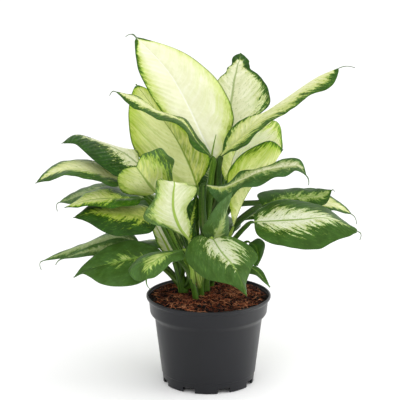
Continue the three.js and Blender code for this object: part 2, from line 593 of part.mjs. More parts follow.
// The coir fills the pot to the floor and rises in a rough mound. Rings of points run from the mound's middle
// out to the pot's wall and down along it.
function soilSolid() {
  const draw = makeDraw(SOIL_SEED);
  const floorZ = FLOOR_Z + POT_WALL + SOIL_GAP;
  const edgeRadius = LIP_RADIUS - LIP_WALL - SOIL_LIP_GAP;
  const bandRadius = BAND_RADIUS - POT_WALL - SOIL_GAP;
  const bandZ = POT_HEIGHT - LIP_DEPTH + LIP_ROUNDING;
  const slopeRadius = BAND_FOOT_RADIUS - POT_WALL - 2 * SOIL_GAP;
  const wallRadius = WALL_TOP_RADIUS - POT_WALL - SOIL_SLOPE_GAP;
  const footRadius = WALL_FOOT_RADIUS - POT_WALL - SOIL_SLOPE_GAP;
  const mound = Array.from({ length: SOIL_RINGS }, (_, ring) => {
    const share = (ring + 1) / SOIL_RINGS;
    const rough = share < 1 ? SOIL_ROUGHNESS : 0;
    return { radius: edgeRadius * share, z: SOIL_EDGE_Z + SOIL_RISE * (1 - share * share), rough };
  });
  const wall = [
    { radius: bandRadius, z: bandZ, rough: 0 },
    { radius: slopeRadius, z: BAND_FOOT_Z, rough: 0 },
    { radius: wallRadius, z: WALL_TOP_Z, rough: 0 },
    { radius: footRadius, z: floorZ + 2 * POT_WALL, rough: 0 },
    { radius: footRadius - 2 * POT_WALL, z: floorZ, rough: 0 },
  ];
  const rings = [...mound, ...wall];
  const vertices = [0, 0, SOIL_EDGE_Z + SOIL_RISE];
  for (const { radius, z, rough } of rings) {
    for (let sector = 0; sector < SOIL_SECTORS; sector++) {
      const angle = (2 * Math.PI * sector) / SOIL_SECTORS;
      const lift = rough * (2 * draw() - 1);
      vertices.push(radius * Math.cos(angle), radius * Math.sin(angle), z + lift);
    }
  }
  vertices.push(0, 0, floorZ);
  const bottom = 1 + rings.length * SOIL_SECTORS;
  const lastRing = bottom - SOIL_SECTORS;
  const triangles = [];
  for (let sector = 0; sector < SOIL_SECTORS; sector++) {
    const next = (sector + 1) % SOIL_SECTORS;
    triangles.push(0, 1 + sector, 1 + next, bottom, lastRing + next, lastRing + sector);
    for (let ring = 0; ring < rings.length - 1; ring++) {
      const a = 1 + ring * SOIL_SECTORS + sector;
      const b = 1 + ring * SOIL_SECTORS + next;
      triangles.push(a, a + SOIL_SECTORS, b + SOIL_SECTORS, a, b + SOIL_SECTORS, b);
    }
  }
  return toSolid(geometryOf(vertices, triangles));
}

// A cane's axis. The extra length at its foot makes room below it in the coir.
function caneAxis(shoot, extra) {
  const [[x, y, z], ...rest] = shoot.axis;
  return curveThrough([[x, y, z - extra], ...rest]);
}

// A stalk starts inside its cane, below its first point. It ends in line with the midrib, just short of the
// blade.
function stalkTube(leaf, shoot, extra) {
  const highest = shoot.axis.at(-1)[2] - SHEATH_DROP / 2;
  const rootZ = THREE.MathUtils.clamp(leaf.stalk[0][2] - SHEATH_DROP, LOWEST_SHEATH_Z, highest);
  const root = caneAxis(shoot, extra).getSpacedPoints(CANE_SAMPLES).find((point) => point.z >= rootZ);
  const base = vector(leaf.rib[0]);
  const ahead = curveThrough(leaf.rib).getPoint(END_SHARE).sub(base).normalize();
  const pointBack = (back) => base.clone().addScaledVector(ahead, -back);
  const knee = [STALK_KNEE, STALK_KNEE / 2, STALK_GAP].map(pointBack);
  const curve = new THREE.CatmullRomCurve3([root, ...leaf.stalk.map(vector), ...knee]);
  const radiusAt = (t) => mix(leaf.girth[0], leaf.girth[1], Math.sqrt(t)) + extra;
  return toSolid(taperedTube(curve, radiusAt, STALK_SIDES, STALK_STEPS));
}

// One shoot with every stalk that grows from it, fused in one solid. The extra radius makes its hole in the
// coir.
function shootSolid(shoot, extra) {
  const radiusAt = (t) => mix(shoot.radii[0], shoot.radii[1], t) + extra;
  let solid = toSolid(taperedTube(caneAxis(shoot, extra), radiusAt, SHOOT_SIDES, SHOOT_STEPS));
  for (const leaf of LEAVES.filter((one) => one.shoot === shoot.name)) {
    solid = solid.add(stalkTube(leaf, shoot, extra));
  }
  if (shoot.name === 'main') {
    const taper = (t) => mix(SPEAR_RADIUS, SPEAR_TIP_RADIUS, t) + extra;
    solid = solid.add(toSolid(taperedTube(curveThrough(SPEAR), taper, STALK_SIDES, SPEAR_STEPS)));
  }
  return solid;
}

// One half of a blade at a share u of its length: how far and which way it reaches from the midrib, and the
// way up from its surface. At both ends it stands square to the midrib.
function bladeHalf(leaf, rib, edge, u, ahead, isLeft) {
  const at = THREE.MathUtils.clamp(u, END_SHARE, 1 - END_SHARE);
  const least = mix(BASE_HALF_WIDTH, TIP_HALF_WIDTH, u);
  const reach = edge.getPoint(at).sub(rib.getPoint(at));
  const width = u === at ? Math.max(reach.length(), least) : least;
  if (u !== at) reach.addScaledVector(ahead, -reach.dot(ahead));
  reach.setLength(width);
  const up = new THREE.Vector3().crossVectors(reach, ahead).normalize();
  if (isLeft) up.negate();
  const phase = isLeft ? WAVE_PHASE_LEFT : 0;
  const ripple = Math.sin(2 * Math.PI * leaf.waves * u + phase);
  const wave = leaf.wave * ripple * Math.min(1, width / FULL_WAVE_WIDTH);
  return { reach, width, up, wave, bulge: leaf.bulge * width };
}

// The point of a blade at a share of the way from the midrib to the edge.
function bladePoint(centre, half, share) {
  const lift = half.bulge * 4 * share * (1 - share) + half.wave * share * share;
  return centre.clone().addScaledVector(half.reach, share).addScaledVector(half.up, lift);
}

// The middle surface of a blade: rows of points across the leaf, from base to tip.
function bladeRows(leaf) {
  const rib = curveThrough(leaf.rib);
  const leftEdge = curveThrough([leaf.rib[0], ...leaf.left, leaf.rib.at(-1)]);
  const rightEdge = curveThrough([leaf.rib[0], ...leaf.right, leaf.rib.at(-1)]);
  const steps = leaf.wave > WAVY_FROM ? WAVY_BLADE_STEPS : BLADE_STEPS;
  const rows = [];
  for (let i = 0; i <= steps; i++) {
    const u = i / steps;
    const centre = rib.getPoint(u);
    const before = rib.getPoint(Math.max(u - AHEAD_STEP, 0));
    const ahead = rib.getPoint(Math.min(u + AHEAD_STEP, 1)).sub(before).normalize();
    const left = bladeHalf(leaf, rib, leftEdge, u, ahead, true);
    const right = bladeHalf(leaf, rib, rightEdge, u, ahead, false);
    const shares = (half) => [Math.min(WIDEST_RIB_SHARE, RIB_HALF_WIDTH / half.width), MID_COLUMN, 1];
    const leftPoints = shares(left).map((share) => bladePoint(centre, left, share)).reverse();
    const rightPoints = shares(right).map((share) => bladePoint(centre, right, share));
    rows.push({ row: [...leftPoints, centre, ...rightPoints], u });
  }
  if (leaf.thread) rows.push(...threadRows(rows, vector(leaf.thread)));
  return rows;
}

// A drip tip narrows on past the blade's end to a point.
function threadRows(rows, end) {
  const last = rows.at(-1).row;
  const middle = (last.length - 1) / 2;
  const centre = last[middle];
  const ahead = centre.clone().sub(rows.at(-2).row[middle]).normalize();
  const bend = centre.clone().addScaledVector(ahead, centre.distanceTo(end) / 2);
  const path = new THREE.QuadraticBezierCurve3(centre, bend, end);
  return [0.5, 1].map((t) => {
    const shift = path.getPoint(t).sub(centre);
    const row = last.map((point) => centre.clone().lerp(point, mix(1, THREAD_END_WIDTH, t)).add(shift));
    return { row, u: 1 };
  });
}

// The blade's normal at a point. At both ends it follows the midrib.
function bladeNormal(rows, i, j) {
  const { row } = rows[i];
  const across = row[Math.min(j + 1, row.length - 1)].clone().sub(row[Math.max(j - 1, 0)]);
  const atEnd = i === 0 || i === rows.length - 1;
  const column = atEnd ? (row.length - 1) / 2 : j;
  const before = rows[Math.max(i - 1, 0)].row[column];
  const after = rows[Math.min(i + 1, rows.length - 1)].row[column];
  return new THREE.Vector3().crossVectors(across, after.clone().sub(before)).normalize();
}

// A thin closed blade: both faces have the same triangles, and the rib stands out below.
function bladeGeometry(leaf) {
  const rows = bladeRows(leaf);
  const columns = rows[0].row.length;
  const middle = (columns - 1) / 2;
  const top = [];
  const under = [];
  rows.forEach(({ row, u }, i) => {
    row.forEach((point, j) => {
      const normal = bladeNormal(rows, i, j);
      const rib = j === middle ? mix(RIB_DEPTH_AT_BASE, RIB_DEPTH_AT_TIP, u) : 0;
      top.push(...point.clone().addScaledVector(normal, BLADE_THICKNESS / 2).toArray());
      under.push(...point.clone().addScaledVector(normal, -BLADE_THICKNESS / 2 - rib).toArray());
    });
  });
  const triangles = [];
  const below = rows.length * columns;
  const quad = (a, b, c, d) => triangles.push(a, b, d, b, c, d);
  for (let i = 0; i < rows.length - 1; i++) {
    for (let j = 0; j < columns - 1; j++) {
      const a = i * columns + j;
      quad(a, a + 1, a + columns + 1, a + columns);
      triangles.push(below + a, below + a + columns, below + a + 1);
      triangles.push(below + a + 1, below + a + columns, below + a + columns + 1);
    }
    const left = i * columns;
    const right = left + columns - 1;
    quad(left, left + columns, left + columns + below, left + below);
    quad(right, right + below, right + columns + below, right + columns);
  }
  const last = (rows.length - 1) * columns;
  for (let j = 0; j < columns - 1; j++) {
    quad(j, j + below, j + 1 + below, j + 1);
    quad(last + j, last + j + 1, last + j + 1 + below, last + j + below);
  }
  return geometryOf([...top, ...under], triangles);
}

const plant = new THREE.Group();
plant.add(makePot());
let soil = soilSolid();
for (const shoot of SHOOTS) {
  soil = soil.subtract(shootSolid(shoot, STEM_GAP));
  const geometry = toGeometry(shootSolid(shoot, 0));
  plant.add(namedMesh(`shoot_${shoot.name}`, geometry, SHOOT_COLOUR, PLANT_ROUGHNESS));
}
plant.add(namedMesh('soil', toGeometry(soil), SOIL_COLOUR, SOIL_MATTNESS));
for (const leaf of LEAVES) {
  plant.add(namedMesh(leaf.name, bladeGeometry(leaf), LEAF_COLOURS[leaf.kind], PLANT_ROUGHNESS));
}

export default plant;
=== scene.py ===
"""Looks of a potted dieffenbachia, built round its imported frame. Sizes are in millimetres until a mesh is made."""
import functools
import math
import random

import bpy
import numpy as np
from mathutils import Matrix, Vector, noise


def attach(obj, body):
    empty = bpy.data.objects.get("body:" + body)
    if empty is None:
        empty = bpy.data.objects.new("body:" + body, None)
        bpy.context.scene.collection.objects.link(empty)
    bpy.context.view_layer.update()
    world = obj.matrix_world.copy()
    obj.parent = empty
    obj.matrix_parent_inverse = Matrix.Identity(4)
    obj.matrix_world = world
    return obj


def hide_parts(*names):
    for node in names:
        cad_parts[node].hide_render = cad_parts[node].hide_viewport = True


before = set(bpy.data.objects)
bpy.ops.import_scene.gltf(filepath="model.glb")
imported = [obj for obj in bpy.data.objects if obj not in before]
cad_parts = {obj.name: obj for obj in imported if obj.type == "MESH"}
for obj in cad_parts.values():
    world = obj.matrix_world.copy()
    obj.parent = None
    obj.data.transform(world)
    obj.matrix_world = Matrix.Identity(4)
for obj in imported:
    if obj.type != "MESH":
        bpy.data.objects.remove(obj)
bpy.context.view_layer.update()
MM = 0.001
NOISE_SEED = 4
DRAW_SEED = 41

# Camera, as fitted to the photograph
CAMERA_TARGET = (-8.2, 0.0, 180.0)
CAMERA_DISTANCE = 2000.0
CAMERA_TILT_DEG = 14.5
CAMERA_LENS = 188.9
SENSOR_WIDTH = 36.0

# Stage. Each lamp has its place, the point that it faces and its size, all in metres, and its power
FLOOR_SIZE = 12000.0
FLOOR_DROP = 0.5
FLOOR_SHADE = 0.97
FLOOR_ROUGHNESS = 0.9
WORLD_LIGHT = 1.12
LAMPS = {
    "key": ((-0.2, -1.6, 1.6), (0.0, 0.0, 0.16), 1.4, 8.0),
    "side": ((1.8, -0.1, 0.6), (0.0, 0.0, 0.16), 1.4, 8.0),
    "floor": ((0.36, -0.12, 0.11), (0.35, -0.12, 0.0), 0.2, 0.7),
}

# The corners of the pot's section, from the middle of its underside out, up and back down inside, each with its
# radius, its height and its rounding
POT_SECTION = {
    "middle": (0, 0, 0), "pad": (15, 0, 0.8), "pad slope": (19, 8, 0.8), "floor": (40.7, 8, 0.6),
    "foot inside": (42.3, 0, 0.3), "foot": (43.9, 0, 0.4), "foot ring": (44.7, 9.6, 0.15),
    "wall foot": (45.3, 10.1, 0.25), "wall top": (51.8, 64, 2.2), "band foot": (56.3, 69.3, 1.6),
    "flare": (57.6, 81.9, 1.4), "lip foot": (60, 83.9, 1.4), "lip": (60, 86.5, 1.2), "mouth": (58.2, 86.5, 0.7),
    "mouth foot": (58.2, 84.7, 1), "band top inside": (55.8, 81.9, 1), "band foot inside": (54.7, 69.3, 1),
    "wall top inside": (50.2, 64, 1), "floor inside": (42.1, 9.6, 0.8), "pad slope inside": (17.4, 9.6, 0.6),
    "pad inside": (13.4, 1.6, 0.6), "middle inside": (0, 1.6, 0),
}
FEET = 8
FIRST_NOTCH_DEG = 19.5
NOTCH_WIDTH = 12.4
NOTCH_HEIGHT = 5.0
NOTCH_DEPTH = 9.6
NOTCH_CIRCLE = 43.9
DRAIN_HOLES = 6
DRAIN_RADIUS = 3.5
DRAIN_CIRCLE = 30.0
DRAIN_SPAN = (6.4, 11.2)
DRAIN_SIDES = 40
POT_SEGMENTS = 160
SHARP_EDGE_DEG = 38
POT_SHINE = 0.32
POT_STOPS = "0.25 13 14 18, 0.75 20 21 26"

# Coir
SOIL_EDGE_RADIUS = 57.3
SOIL_EDGE_Z = 84.0
SOIL_RISE = 3.0
SOIL_RINGS = 70
SOIL_SECTORS = 220
CRUMBS = 900
CRUMB_MARGIN = 3
CRUMB_LIFT = 0.25
CRUMB_SIZE = (0.5, 1.9)
CRUMB_STRETCH = ((0.7, 1.8), (0.6, 1.1), (0.4, 0.8))
CRUMB_ROUGHNESS = (0.7, 1.3)
CRUMB_TONE = (0.1, 0.75)
FIBRES = 1500
FIBRE_MARGIN = 4
FIBRE_LIFT = 0.15
FIBRE_TAPER = 0.7
FIBRE_STEPS = (5, 11)
FIBRE_STRIDE = (0.8, 1.9)
FIBRE_HUMP = (0.1, 1.6)
FIBRE_CURL = 0.5
FIBRE_KINK = 0.35
FIBRE_THICKNESS = (0.1, 0.3)
FIBRE_TONE = (0.25, 1.0)
FIBRE_SIDES = 4
COIR_SHINE = 0.2
BED_TONE = 0.32
BED_ROUGHNESS = 0.95
# The bed's near-black first stops are painted shade, as in the gaps between the shreds
BED_STOPS = "0 3 2 2, 0.36 15 7 4, 0.66 58 27 15, 1 132 72 45"
FIBRE_ROUGHNESS = 0.85
FIBRE_STOPS = "0 22 9 6, 0.35 84 37 21, 0.7 152 80 50, 1 216 150 108"
# A crumb's faces, each by the numbers of its three corners
CRUMB_FACES = (
    "0 4 2, 0 2 5, 0 8 4, 0 5 10, 0 10 8, 1 3 6, 1 7 3, 1 6 8, 1 10 7, 1 8 10, 2 4 9, 2 11 5, "
    "2 9 11, 3 9 6, 3 7 11, 3 11 9, 4 8 6, 4 6 9, 5 7 10, 5 11 7"
)
# The coir's wall and floor from the top down, as radius and height
SOIL_WALL = "55.3 81.9, 54.1 69.3, 49.6 64, 41.5 11.2, 0.5 9.95"
# Each kind of bump on the bed: how many there are to a millimetre, its layer of the noise and its height
COIR_BUMPS = ((0.11, 3.0, 1.6), (0.35, 7.0, 0.9), (1.1, 11.0, 0.5))

# Shoots and leaf stalks
SHEATH_DROP = 14.0
LOWEST_SHEATH_Z = 90.0
STALK_KNEE = 3.0
STALK_GAP = 0.4
CURVE_SAMPLES = 400
CANE_SAMPLES = 60
CANE_WAVES = 40
CANE_SWELL = 0.05
CANE_SIDES = 28
CANE_TONE = 0.4
STALK_SIDES = 20
STALK_STEPS = 36
STALK_GROOVE = 0.3
GROOVE_WIDTH = 0.42
RIM_PLACE = 0.72
RIM_WIDTH = 0.22
RIM_RISE = 0.18
STALK_END = 9.0
STALK_END_SHARE = 0.55
FACING_SHARE = 0.1
STALK_SHINE = 0.18
STALK_RIM = (184, 198, 124)
STALK_STOPS = "0 20 34 4, 0.3 40 70 12, 0.55 82 118 28, 0.8 140 170 64, 1 192 208 122"
SPEAR_STEPS = 30
SPEAR_SIDES = 14
SPEAR_GROOVE = 0.2
SPEAR_TONE = 0.6
SPEAR_RADII = (1.5, 0.35)

# Leaf blades
BLADE_ROWS = 64
THREAD_ROWS = 8
THREAD_ROOT_WIDTH = 1.2
THREAD_END_WIDTH = 0.5
DIRECTION_STEP = 0.01
BASE_HALF_WIDTH = 1.8
TIP_HALF_WIDTH = 0.7
END_SHARE = 0.02
WAVES = 3
WAVE_PHASE_LEFT = 1.7
FULL_WAVE_WIDTH = 12.0
FLUTTER = 1.6
FLUTTER_PITCH = 0.12
BLADE_HALF_THICKNESS = 0.32
EDGE_HALF_THICKNESS = 0.12
RIB_HALF_WIDTH = 1.3
RIB_DIP = 0.25
RIB_DEPTH_AT_BASE = 1.5
RIB_DEPTH_AT_TIP = 0.25
TIP_DARKNESS = 1.1
DARK_TIP_START = 0.92
SEED_STEP = 17.0
SEED_START = 3.0
ACROSS = (0, 0.04, 0.09, 0.15, 0.23, 0.33, 0.44, 0.56, 0.68, 0.79, 0.88, 0.95, 1.0)

# Leaf faces
DULL_GREEN = (196, 208, 176)
UNDER_DULLNESS = 0.08
DARK_VEINS = 0.12
VEIN_PITCH = 6.5
VEIN_RIDGE = 0.22
RAMP_SHIFT = 0.25
RAMP_SCALE = 0.8
RIB_MARK_UPPER = 1.4
RIB_MARK_UNDER = 1.9
RIB_MARK_AT_TIP = 0.35
UPPER_ROUGHNESS = 0.4
UNDER_ROUGHNESS = 0.58
LEAF_SHINE = 0.14
LIGHT_THROUGH = {"bright": 0.6}
LIGHT_SPREAD = (0.7, 1.0, 0.35)
LIGHT_REACH = 0.004
LIME_STOPS = "0.1 204 210 112, 0.9 130 158 34"

# For each look of a leaf face: its five colours from the margin to the midrib, each with how far inside the pale
# middle's border it starts, then the colours of the streaks, the side veins and the midrib with their strengths
PALETTES = {
    "cream": ("-0.1 52 90 16, -0.03 104 140 38, 0.03 170 192 82, 0.12 208 219 138, 0.4 234 235 201",
        "0.4 200 214 116, 0.2 250 250 236, 0.7 246 247 234"),
    # The cream look painted lighter, nearly white: painted light shining through the leaf from behind where the face
    # lies in shade
    "bright": ("-0.1 52 90 16, -0.03 104 140 38, 0.03 180 200 90, 0.1 226 236 156, 0.25 255 255 226",
        "0.25 226 234 160, 0.3 255 255 240, 0.7 246 247 234"),
    "muted": ("-0.1 52 86 34, -0.02 76 108 48, 0.08 114 138 72, 0.25 162 174 116, 0.6 212 214 178",
        "0.6 122 146 80, 0.15 214 216 184, 0.5 206 210 170"),
    "speckled": ("-0.1 36 70 16, -0.03 66 104 30, 0.02 146 166 82, 0.09 204 210 154, 0.4 222 224 190",
        "0.65 160 180 96, 0.35 238 238 218, 0.75 138 158 92"),
    "lime": ("-0.1 46 88 8, -0.04 92 132 16, 0.04 146 178 40, 0.2 190 205 96, 0.6 218 224 156",
        "0.65 144 176 40, 0.35 232 235 186, 0.8 118 150 28"),
    "pale": ("-0.1 60 98 20, -0.03 112 144 46, 0.05 166 186 90, 0.2 198 207 142, 0.6 216 220 182",
        "0.6 164 186 98, 0.35 240 241 220, 0.95 142 172 44"),
    "narrow": ("-0.1 46 82 18, -0.03 84 120 32, 0.03 150 170 74, 0.12 200 206 136, 0.45 220 222 174",
        "0.6 158 178 84, 0.25 234 234 204, 0.6 192 202 132"),
    "feather": ("-0.1 52 85 23, -0.02 74 109 34, 0.02 130 158 70, 0.07 194 204 146, 0.35 226 229 205",
        "0.6 158 180 96, 0.12 214 221 176, 0.9 128 158 60"),
    "heart": ("-0.1 56 87 28, -0.02 78 110 40, 0.02 124 150 72, 0.07 178 189 136, 0.35 204 209 180",
        "0.6 150 172 96, 0.12 200 208 170, 0.85 130 158 70"),
    "mottled": ("-0.1 34 66 10, -0.02 60 96 18, 0.05 124 152 38, 0.2 178 198 74, 0.5 208 217 132",
        "0.8 76 112 24, 0.15 198 207 132, 0.7 150 174 70"),
    "dull": ("-0.1 66 96 44, -0.02 90 120 58, 0.05 116 140 76, 0.2 142 160 102, 0.6 170 182 138",
        "0.6 100 128 66, 0.25 190 198 162, 0.7 150 168 108"),
    "dark": ("-0.1 42 76 14, -0.02 60 96 22, 0.05 98 130 46, 0.18 144 164 88, 0.5 176 188 128",
        "0.55 92 124 46, 0.1 104 136 54, 0.7 100 134 46"),
    "green": ("-0.1 62 94 36, -0.02 78 114 42, 0.04 116 148 58, 0.14 162 182 94, 0.45 196 208 138",
        "0.4 110 146 54, 0.12 110 146 66, 0.7 114 150 58"),
}

# Each cane's axis from the foot up with its radius at both ends, and the axis of the rolled new leaf
SHOOTS = {
    "main": ("-5 8 58, -5 8 82, -4 6 117, -2 4 154, 1 4 184, 5 6 210", (7, 4)),
    "front": ("-11 -17 58, -12 -18 85, -14 -19 98, -17 -20 108", (3.2, 2.6)),
    "inner": ("-6 -7 58, -7 -8 89, -8 -10 101, -8 -12 110", (3.2, 2.8)),
    "left": ("-22 8 58, -24 6 85, -27 6 102, -31 6 117", (6, 4)),
    "right": ("0 25 58, 1 24 83, 3 18 103, 9 12 122", (5, 3.4)),
}
SPEAR = "4 5 205, 3 3 222, 5 3 234, 7 4 243"

# What a leaf has unless its row says otherwise: the height of its edge's waves, how far each half arches, the
# stalk's radius at its root and at the blade, the end of a drip tip, how yellow-green the pale middle is from base
# to tip on the left and on the right half, the stalk's tone from dark to pale, and how uneven the edge is
USUAL = {
    "wave": 0, "bulge": 0.06, "girth": (3.6, 1.7), "thread": None, "lime": ((0, 0), (0, 0)), "tone": 0.4,
    "ragged": 0.5,
}
LEAVES = []


def numbers(text):
    """Rows of numbers, such as points, that are written with commas between the rows."""
    return [[float(value) for value in group.split()] for group in text.split(",")]


def list_leaf(name, kind, shoot, stalk, rib, left, right, reach, feather, specks, **special):
    """Lists a leaf. The curves are the points of its stalk from the shoot up, of its midrib from base to tip, and
    of its left and right edges between them, seen from above with the tip ahead. The reach is how far the pale
    middle goes from base to tip in half widths, on the left and on the right half. The looks are those of the upper
    and the under face."""
    LEAVES.append({
        **USUAL, "looks": (kind, kind), "name": name, "kind": kind, "shoot": shoot, "stalk": numbers(stalk),
        "rib": numbers(rib), "left": numbers(left), "right": numbers(right), "reach": numbers(reach),
        "feather": feather, "specks": specks, **special,
    })


list_leaf("top_front", "cream", "main", "1 7 188, 5 8 206",
    "6 11 216, -7 17 241, -20 22 268, -39 32 299, -71 44 331",
    "-5 16 227, -21 19 248, -40 21 257, -56 27 278, -68 38 302",
    "15 14 223, 20 16 239, 24 18 258, 10 20 290, -23 33 316", "1 0.99 0.98 0.9 0.75, 0.96 0.97 0.98 1.1 1.1", 0.15,
    0.3, girth=(3.6, 2.6), thread=(-79, 42, 330), tone=0.35)
list_leaf("top_back", "speckled", "main", "4 12 177, 10 18 205",
    "15 24 231, 20 36 257, 23 42 276, 25 44 289, 27 46 297, 28 47 302, 30 48 307, 31 50 313",
    "-1 30 251, 2 38 277, 12 43 290, 18 46 298, 22 48 302, 23 49 309",
    "47 40 253, 60 42 268, 55 44 284, 47 45 293, 39 47 300, 39 49 306",
    "0.97 0.95 0.93 0.7 -0.5, 1 0.88 0.75 0.5 -0.5", 0.4, 0.65, wave=1.6, ragged=2.2)
list_leaf("long_right", "cream", "main", "7 4 175, 9 2 203",
    "12 0 223, 28 3 238, 48 6 258, 76 9 279, 103 12 297, 124 13 306",
    "17 6 243, 34 12 257, 55 16 262, 80 18 274, 106 16 293",
    "30 -16 234, 50 -17 253, 73 -13 268, 93 -8 282, 116 0 291", "0.5 0.78 0.88 0.78 0.4, 0.4 0.66 0.8 0.68 0.2", 0.5,
    0.8, wave=0.8, girth=(4, 3.2), thread=(138, 12, 306), looks=("narrow", "narrow"),
    lime=((0.7, 0.1, 0), (0.8, 0.2, 0.1)), tone=0.25)
# boat_right's under face has the cream look painted lighter, as painted light shining through the leaf
list_leaf("boat_right", "lime", "right", "0 18 105, 16 8 133",
    "24 4 153, 34 6 178, 44 8 194, 57 8 206, 71 6 228", "20 -1 174, 19 0 208, 33 0 226, 58 0 238",
    "21 12 185, 23 20 216, 40 24 242, 65 22 252", "1.05 1.05 0.95 0.7, 1.7 1.6 1.1 0.55", 0.5, 0.7,
    looks=("lime", "bright"), lime=((0.1, 0.1, 0, 0.4), (0, 0)), tone=0.75)
list_leaf("wavy_right", "narrow", "main", "-5 -3 157, -6 -7 182",
    "-2 -9 197, 14 -13 196, 32 -15 204, 52 -17 213, 70 -19 217, 84 -21 218, 92 -23 209",
    "8 -6 196, 21 -7 200, 31 -7 210, 43 -8 213, 58 -9 216, 72 -10 223, 86 -15 224",
    "2 -16 190, 10 -23 184, 20 -29 188, 32 -33 200, 46 -36 203, 59 -37 210, 71 -36 211, 82 -31 217",
    "-0.3 0.35 0.8 0.75 0.2, 0.6 0.35 0.35 0.4 0.1", 0.8, 0.9, wave=1.2, girth=(4.4, 3.4), thread=(94, -22, 200),
    looks=("muted", "lime"), lime=((0.5, 0, 0), (0.8, 0.2, 0)), tone=0.32)
list_leaf("big_right", "feather", "right", "3 14 101, 24 -1 141",
    "43 -14 162, 63 -18 164, 86 -24 167, 111 -30 170, 141 -38 159", "45 -3 169, 72 3 180, 104 0 176, 130 -20 165",
    "46 -36 155, 72 -48 147, 102 -54 147, 126 -48 156", "0.62 0.6 0.5 0.3 -0.1, 0.35 0.5 0.45 0.2 -0.1", 1.3, 0.6,
    wave=0.6, girth=(3.6, 2.4), thread=(142, -38, 151), tone=0.3)
list_leaf("dark_right", "dark", "right", "3 20 105, 25 9 152, 38 7 165",
    "51 6 173, 69 14 177, 88 19 178, 105 21 179, 119 20 185", "47 22 180, 62 30 182, 85 35 183, 106 32 183",
    "59 5 173, 78 12 172, 96 14 170, 113 14 173", "-0.1 0.2 0.3 0.4, 0.1 0.35 0.45 0.6", 1.1, 0.9, girth=(4.4, 3.2),
    thread=(121, 18, 184), tone=0.25)
list_leaf("far_right", "dark", "right", "4 30 110, 21 33 163, 48 40 167",
    "82 44 166, 99 48 165, 116 52 163, 129 54 158, 141 56 151", "90 66 173, 106 72 173, 122 70 165, 135 62 157",
    "87 30 160, 103 34 157, 119 40 159, 134 50 153", "0.6 0.6 0.4, 0.65 0.6 0.4", 0.7, 0.6, girth=(3.8, 2.6),
    thread=(146, 56, 141), looks=("narrow", "dull"), tone=0.25)
list_leaf("heart_front", "feather", "inner", "-8 -14 113, -2 -18 134",
    "4 -36 151, 12 -50 142, 21 -62 135, 27 -70 127, 35 -80 109", "20 -38 155, 46 -46 138, 39 -58 128, 35 -68 117",
    "-12 -31 153, -22 -44 137, -5 -60 121, 22 -70 116", "0.95 0.8 0.22 -0.3 -0.45, 0.7 0.55 0.15 -0.3 -0.45", 1.4,
    0.8, wave=0.5, girth=(2.8, 1.8), looks=("heart", "dull"), tone=0.8)
list_leaf("pale_front", "pale", "inner", "-11 -14 109, -13 -17 127",
    "-19 -24 148, -27 -34 162, -33 -45 183, -33 -52 200, -32 -56 211, -38 -46 209",
    "-16 -26 159, -20 -34 181, -11 -44 203, -20 -52 208", "-38 -34 161, -61 -44 173, -50 -50 197, -48 -54 213",
    "0.8 1.05 0.97, 0.65 0.78 0.95", 0.35, 0.5, wave=1, bulge=0.03, girth=(2.8, 2), tone=0.85)
list_leaf("curl_left", "pale", "left", "-15 0 98, -35 -10 148",
    "-49 -24 193, -55 -34 203, -61 -46 215, -67 -60 228",
    "-35 -25 202, -34 -32 216, -32 -38 228, -38 -44 235, -45 -50 243, -54 -56 240, -62 -60 237",
    "-59 -20 189, -71 -23 191, -81 -26 194, -85 -32 203, -85 -40 213, -78 -50 223",
    "0.9 0.74 0.68 0.75 0.8, 1.15 1.05 0.9", 0.6, 0.9, bulge=0.05, looks=("lime", "lime"),
    lime=((0, 0.5, 0.8), (0.3, 0, 0.4)), tone=0.6)
list_leaf("tall_left", "lime", "main", "-1 10 146, -6 9 171",
    "-11 8 192, -19 14 213, -32 26 236, -51 40 259, -70 52 282", "-30 12 188, -70 26 221, -77 36 251, -75 46 271",
    "3 2 219, -6 8 232, -24 17 247, -41 34 254, -58 50 277", "1.25 1.15 1.05 0.9, 0.85 0.9 1 0.9", 0.3, 0.45,
    lime=((0.1, 0, 0, 0.3), (0.9, 0.85, 0.4, 0.3)), tone=0.6, ragged=0.1)
list_leaf("arch_left", "narrow", "main", "0 4 179, 3 1 204",
    "3 -8 224, -10 -14 239, -25 -18 260, -50 -22 271, -70 -27 284, -87 -31 292",
    "-14 -24 237, -26 -34 260, -49 -38 268, -69 -38 278", "-5 -5 237, -23 -4 259, -49 -6 269, -70 -14 284",
    "-0.2 -0.1 0.3 0.55 0.4, -0.2 0 0.45 0.7 0.4", 0.6, 0.8, wave=0.8, girth=(3.6, 3.2), thread=(-92, -31, 288),
    tone=0.5)
list_leaf("left_1", "dark", "left", "-16 14 106, -35 4 174",
    "-65 -2 214, -80 2 225, -96 6 232, -111 8 237, -128 10 241, -140 10 233",
    "-85 -22 208, -98 -22 217, -113 -16 227, -125 -4 235", "-70 24 223, -86 30 223, -103 30 228, -120 22 237",
    "0.75 0.35 0.1 -0.1 -0.3, 0.95 0.85 0.65 0 -0.4", 0.9, 0.9, looks=("speckled", "dark"))
list_leaf("left_2", "narrow", "left", "-18 6 104, -44 -4 166",
    "-78 -8 200, -96 -12 206, -112 -18 213, -128 -22 216, -145 -28 213, -162 -34 205",
    "-91 -30 201, -110 -38 209, -130 -42 214, -148 -40 210", "-92 14 211, -113 12 216, -134 2 219, -151 -16 215",
    "0.15 0.25 0.45 0.35 0.1, 1.05 0.9 0.75 0.6 0.3", 0.8, 0.8, wave=0.6, lime=((0.3, 0.3), (0.3, 0.2)))
list_leaf("left_3", "lime", "left", "-18 0 100, -41 -12 159",
    "-63 -22 187, -80 -26 188, -96 -30 189, -114 -34 188, -127 -38 185, -135 -40 183",
    "-68 -40 186, -85 -46 185, -102 -50 187, -120 -46 185", "-74 -2 187, -94 0 193, -112 -8 191, -124 -24 185",
    "-0.3 0.1 0.6 0.65 0.3, -0.3 0.15 0.7 0.65 0.3", 0.9, 0.9, wave=0.6, looks=("lime", "dark"),
    lime=((0.1, 0.1), (0.1, 0.1)))
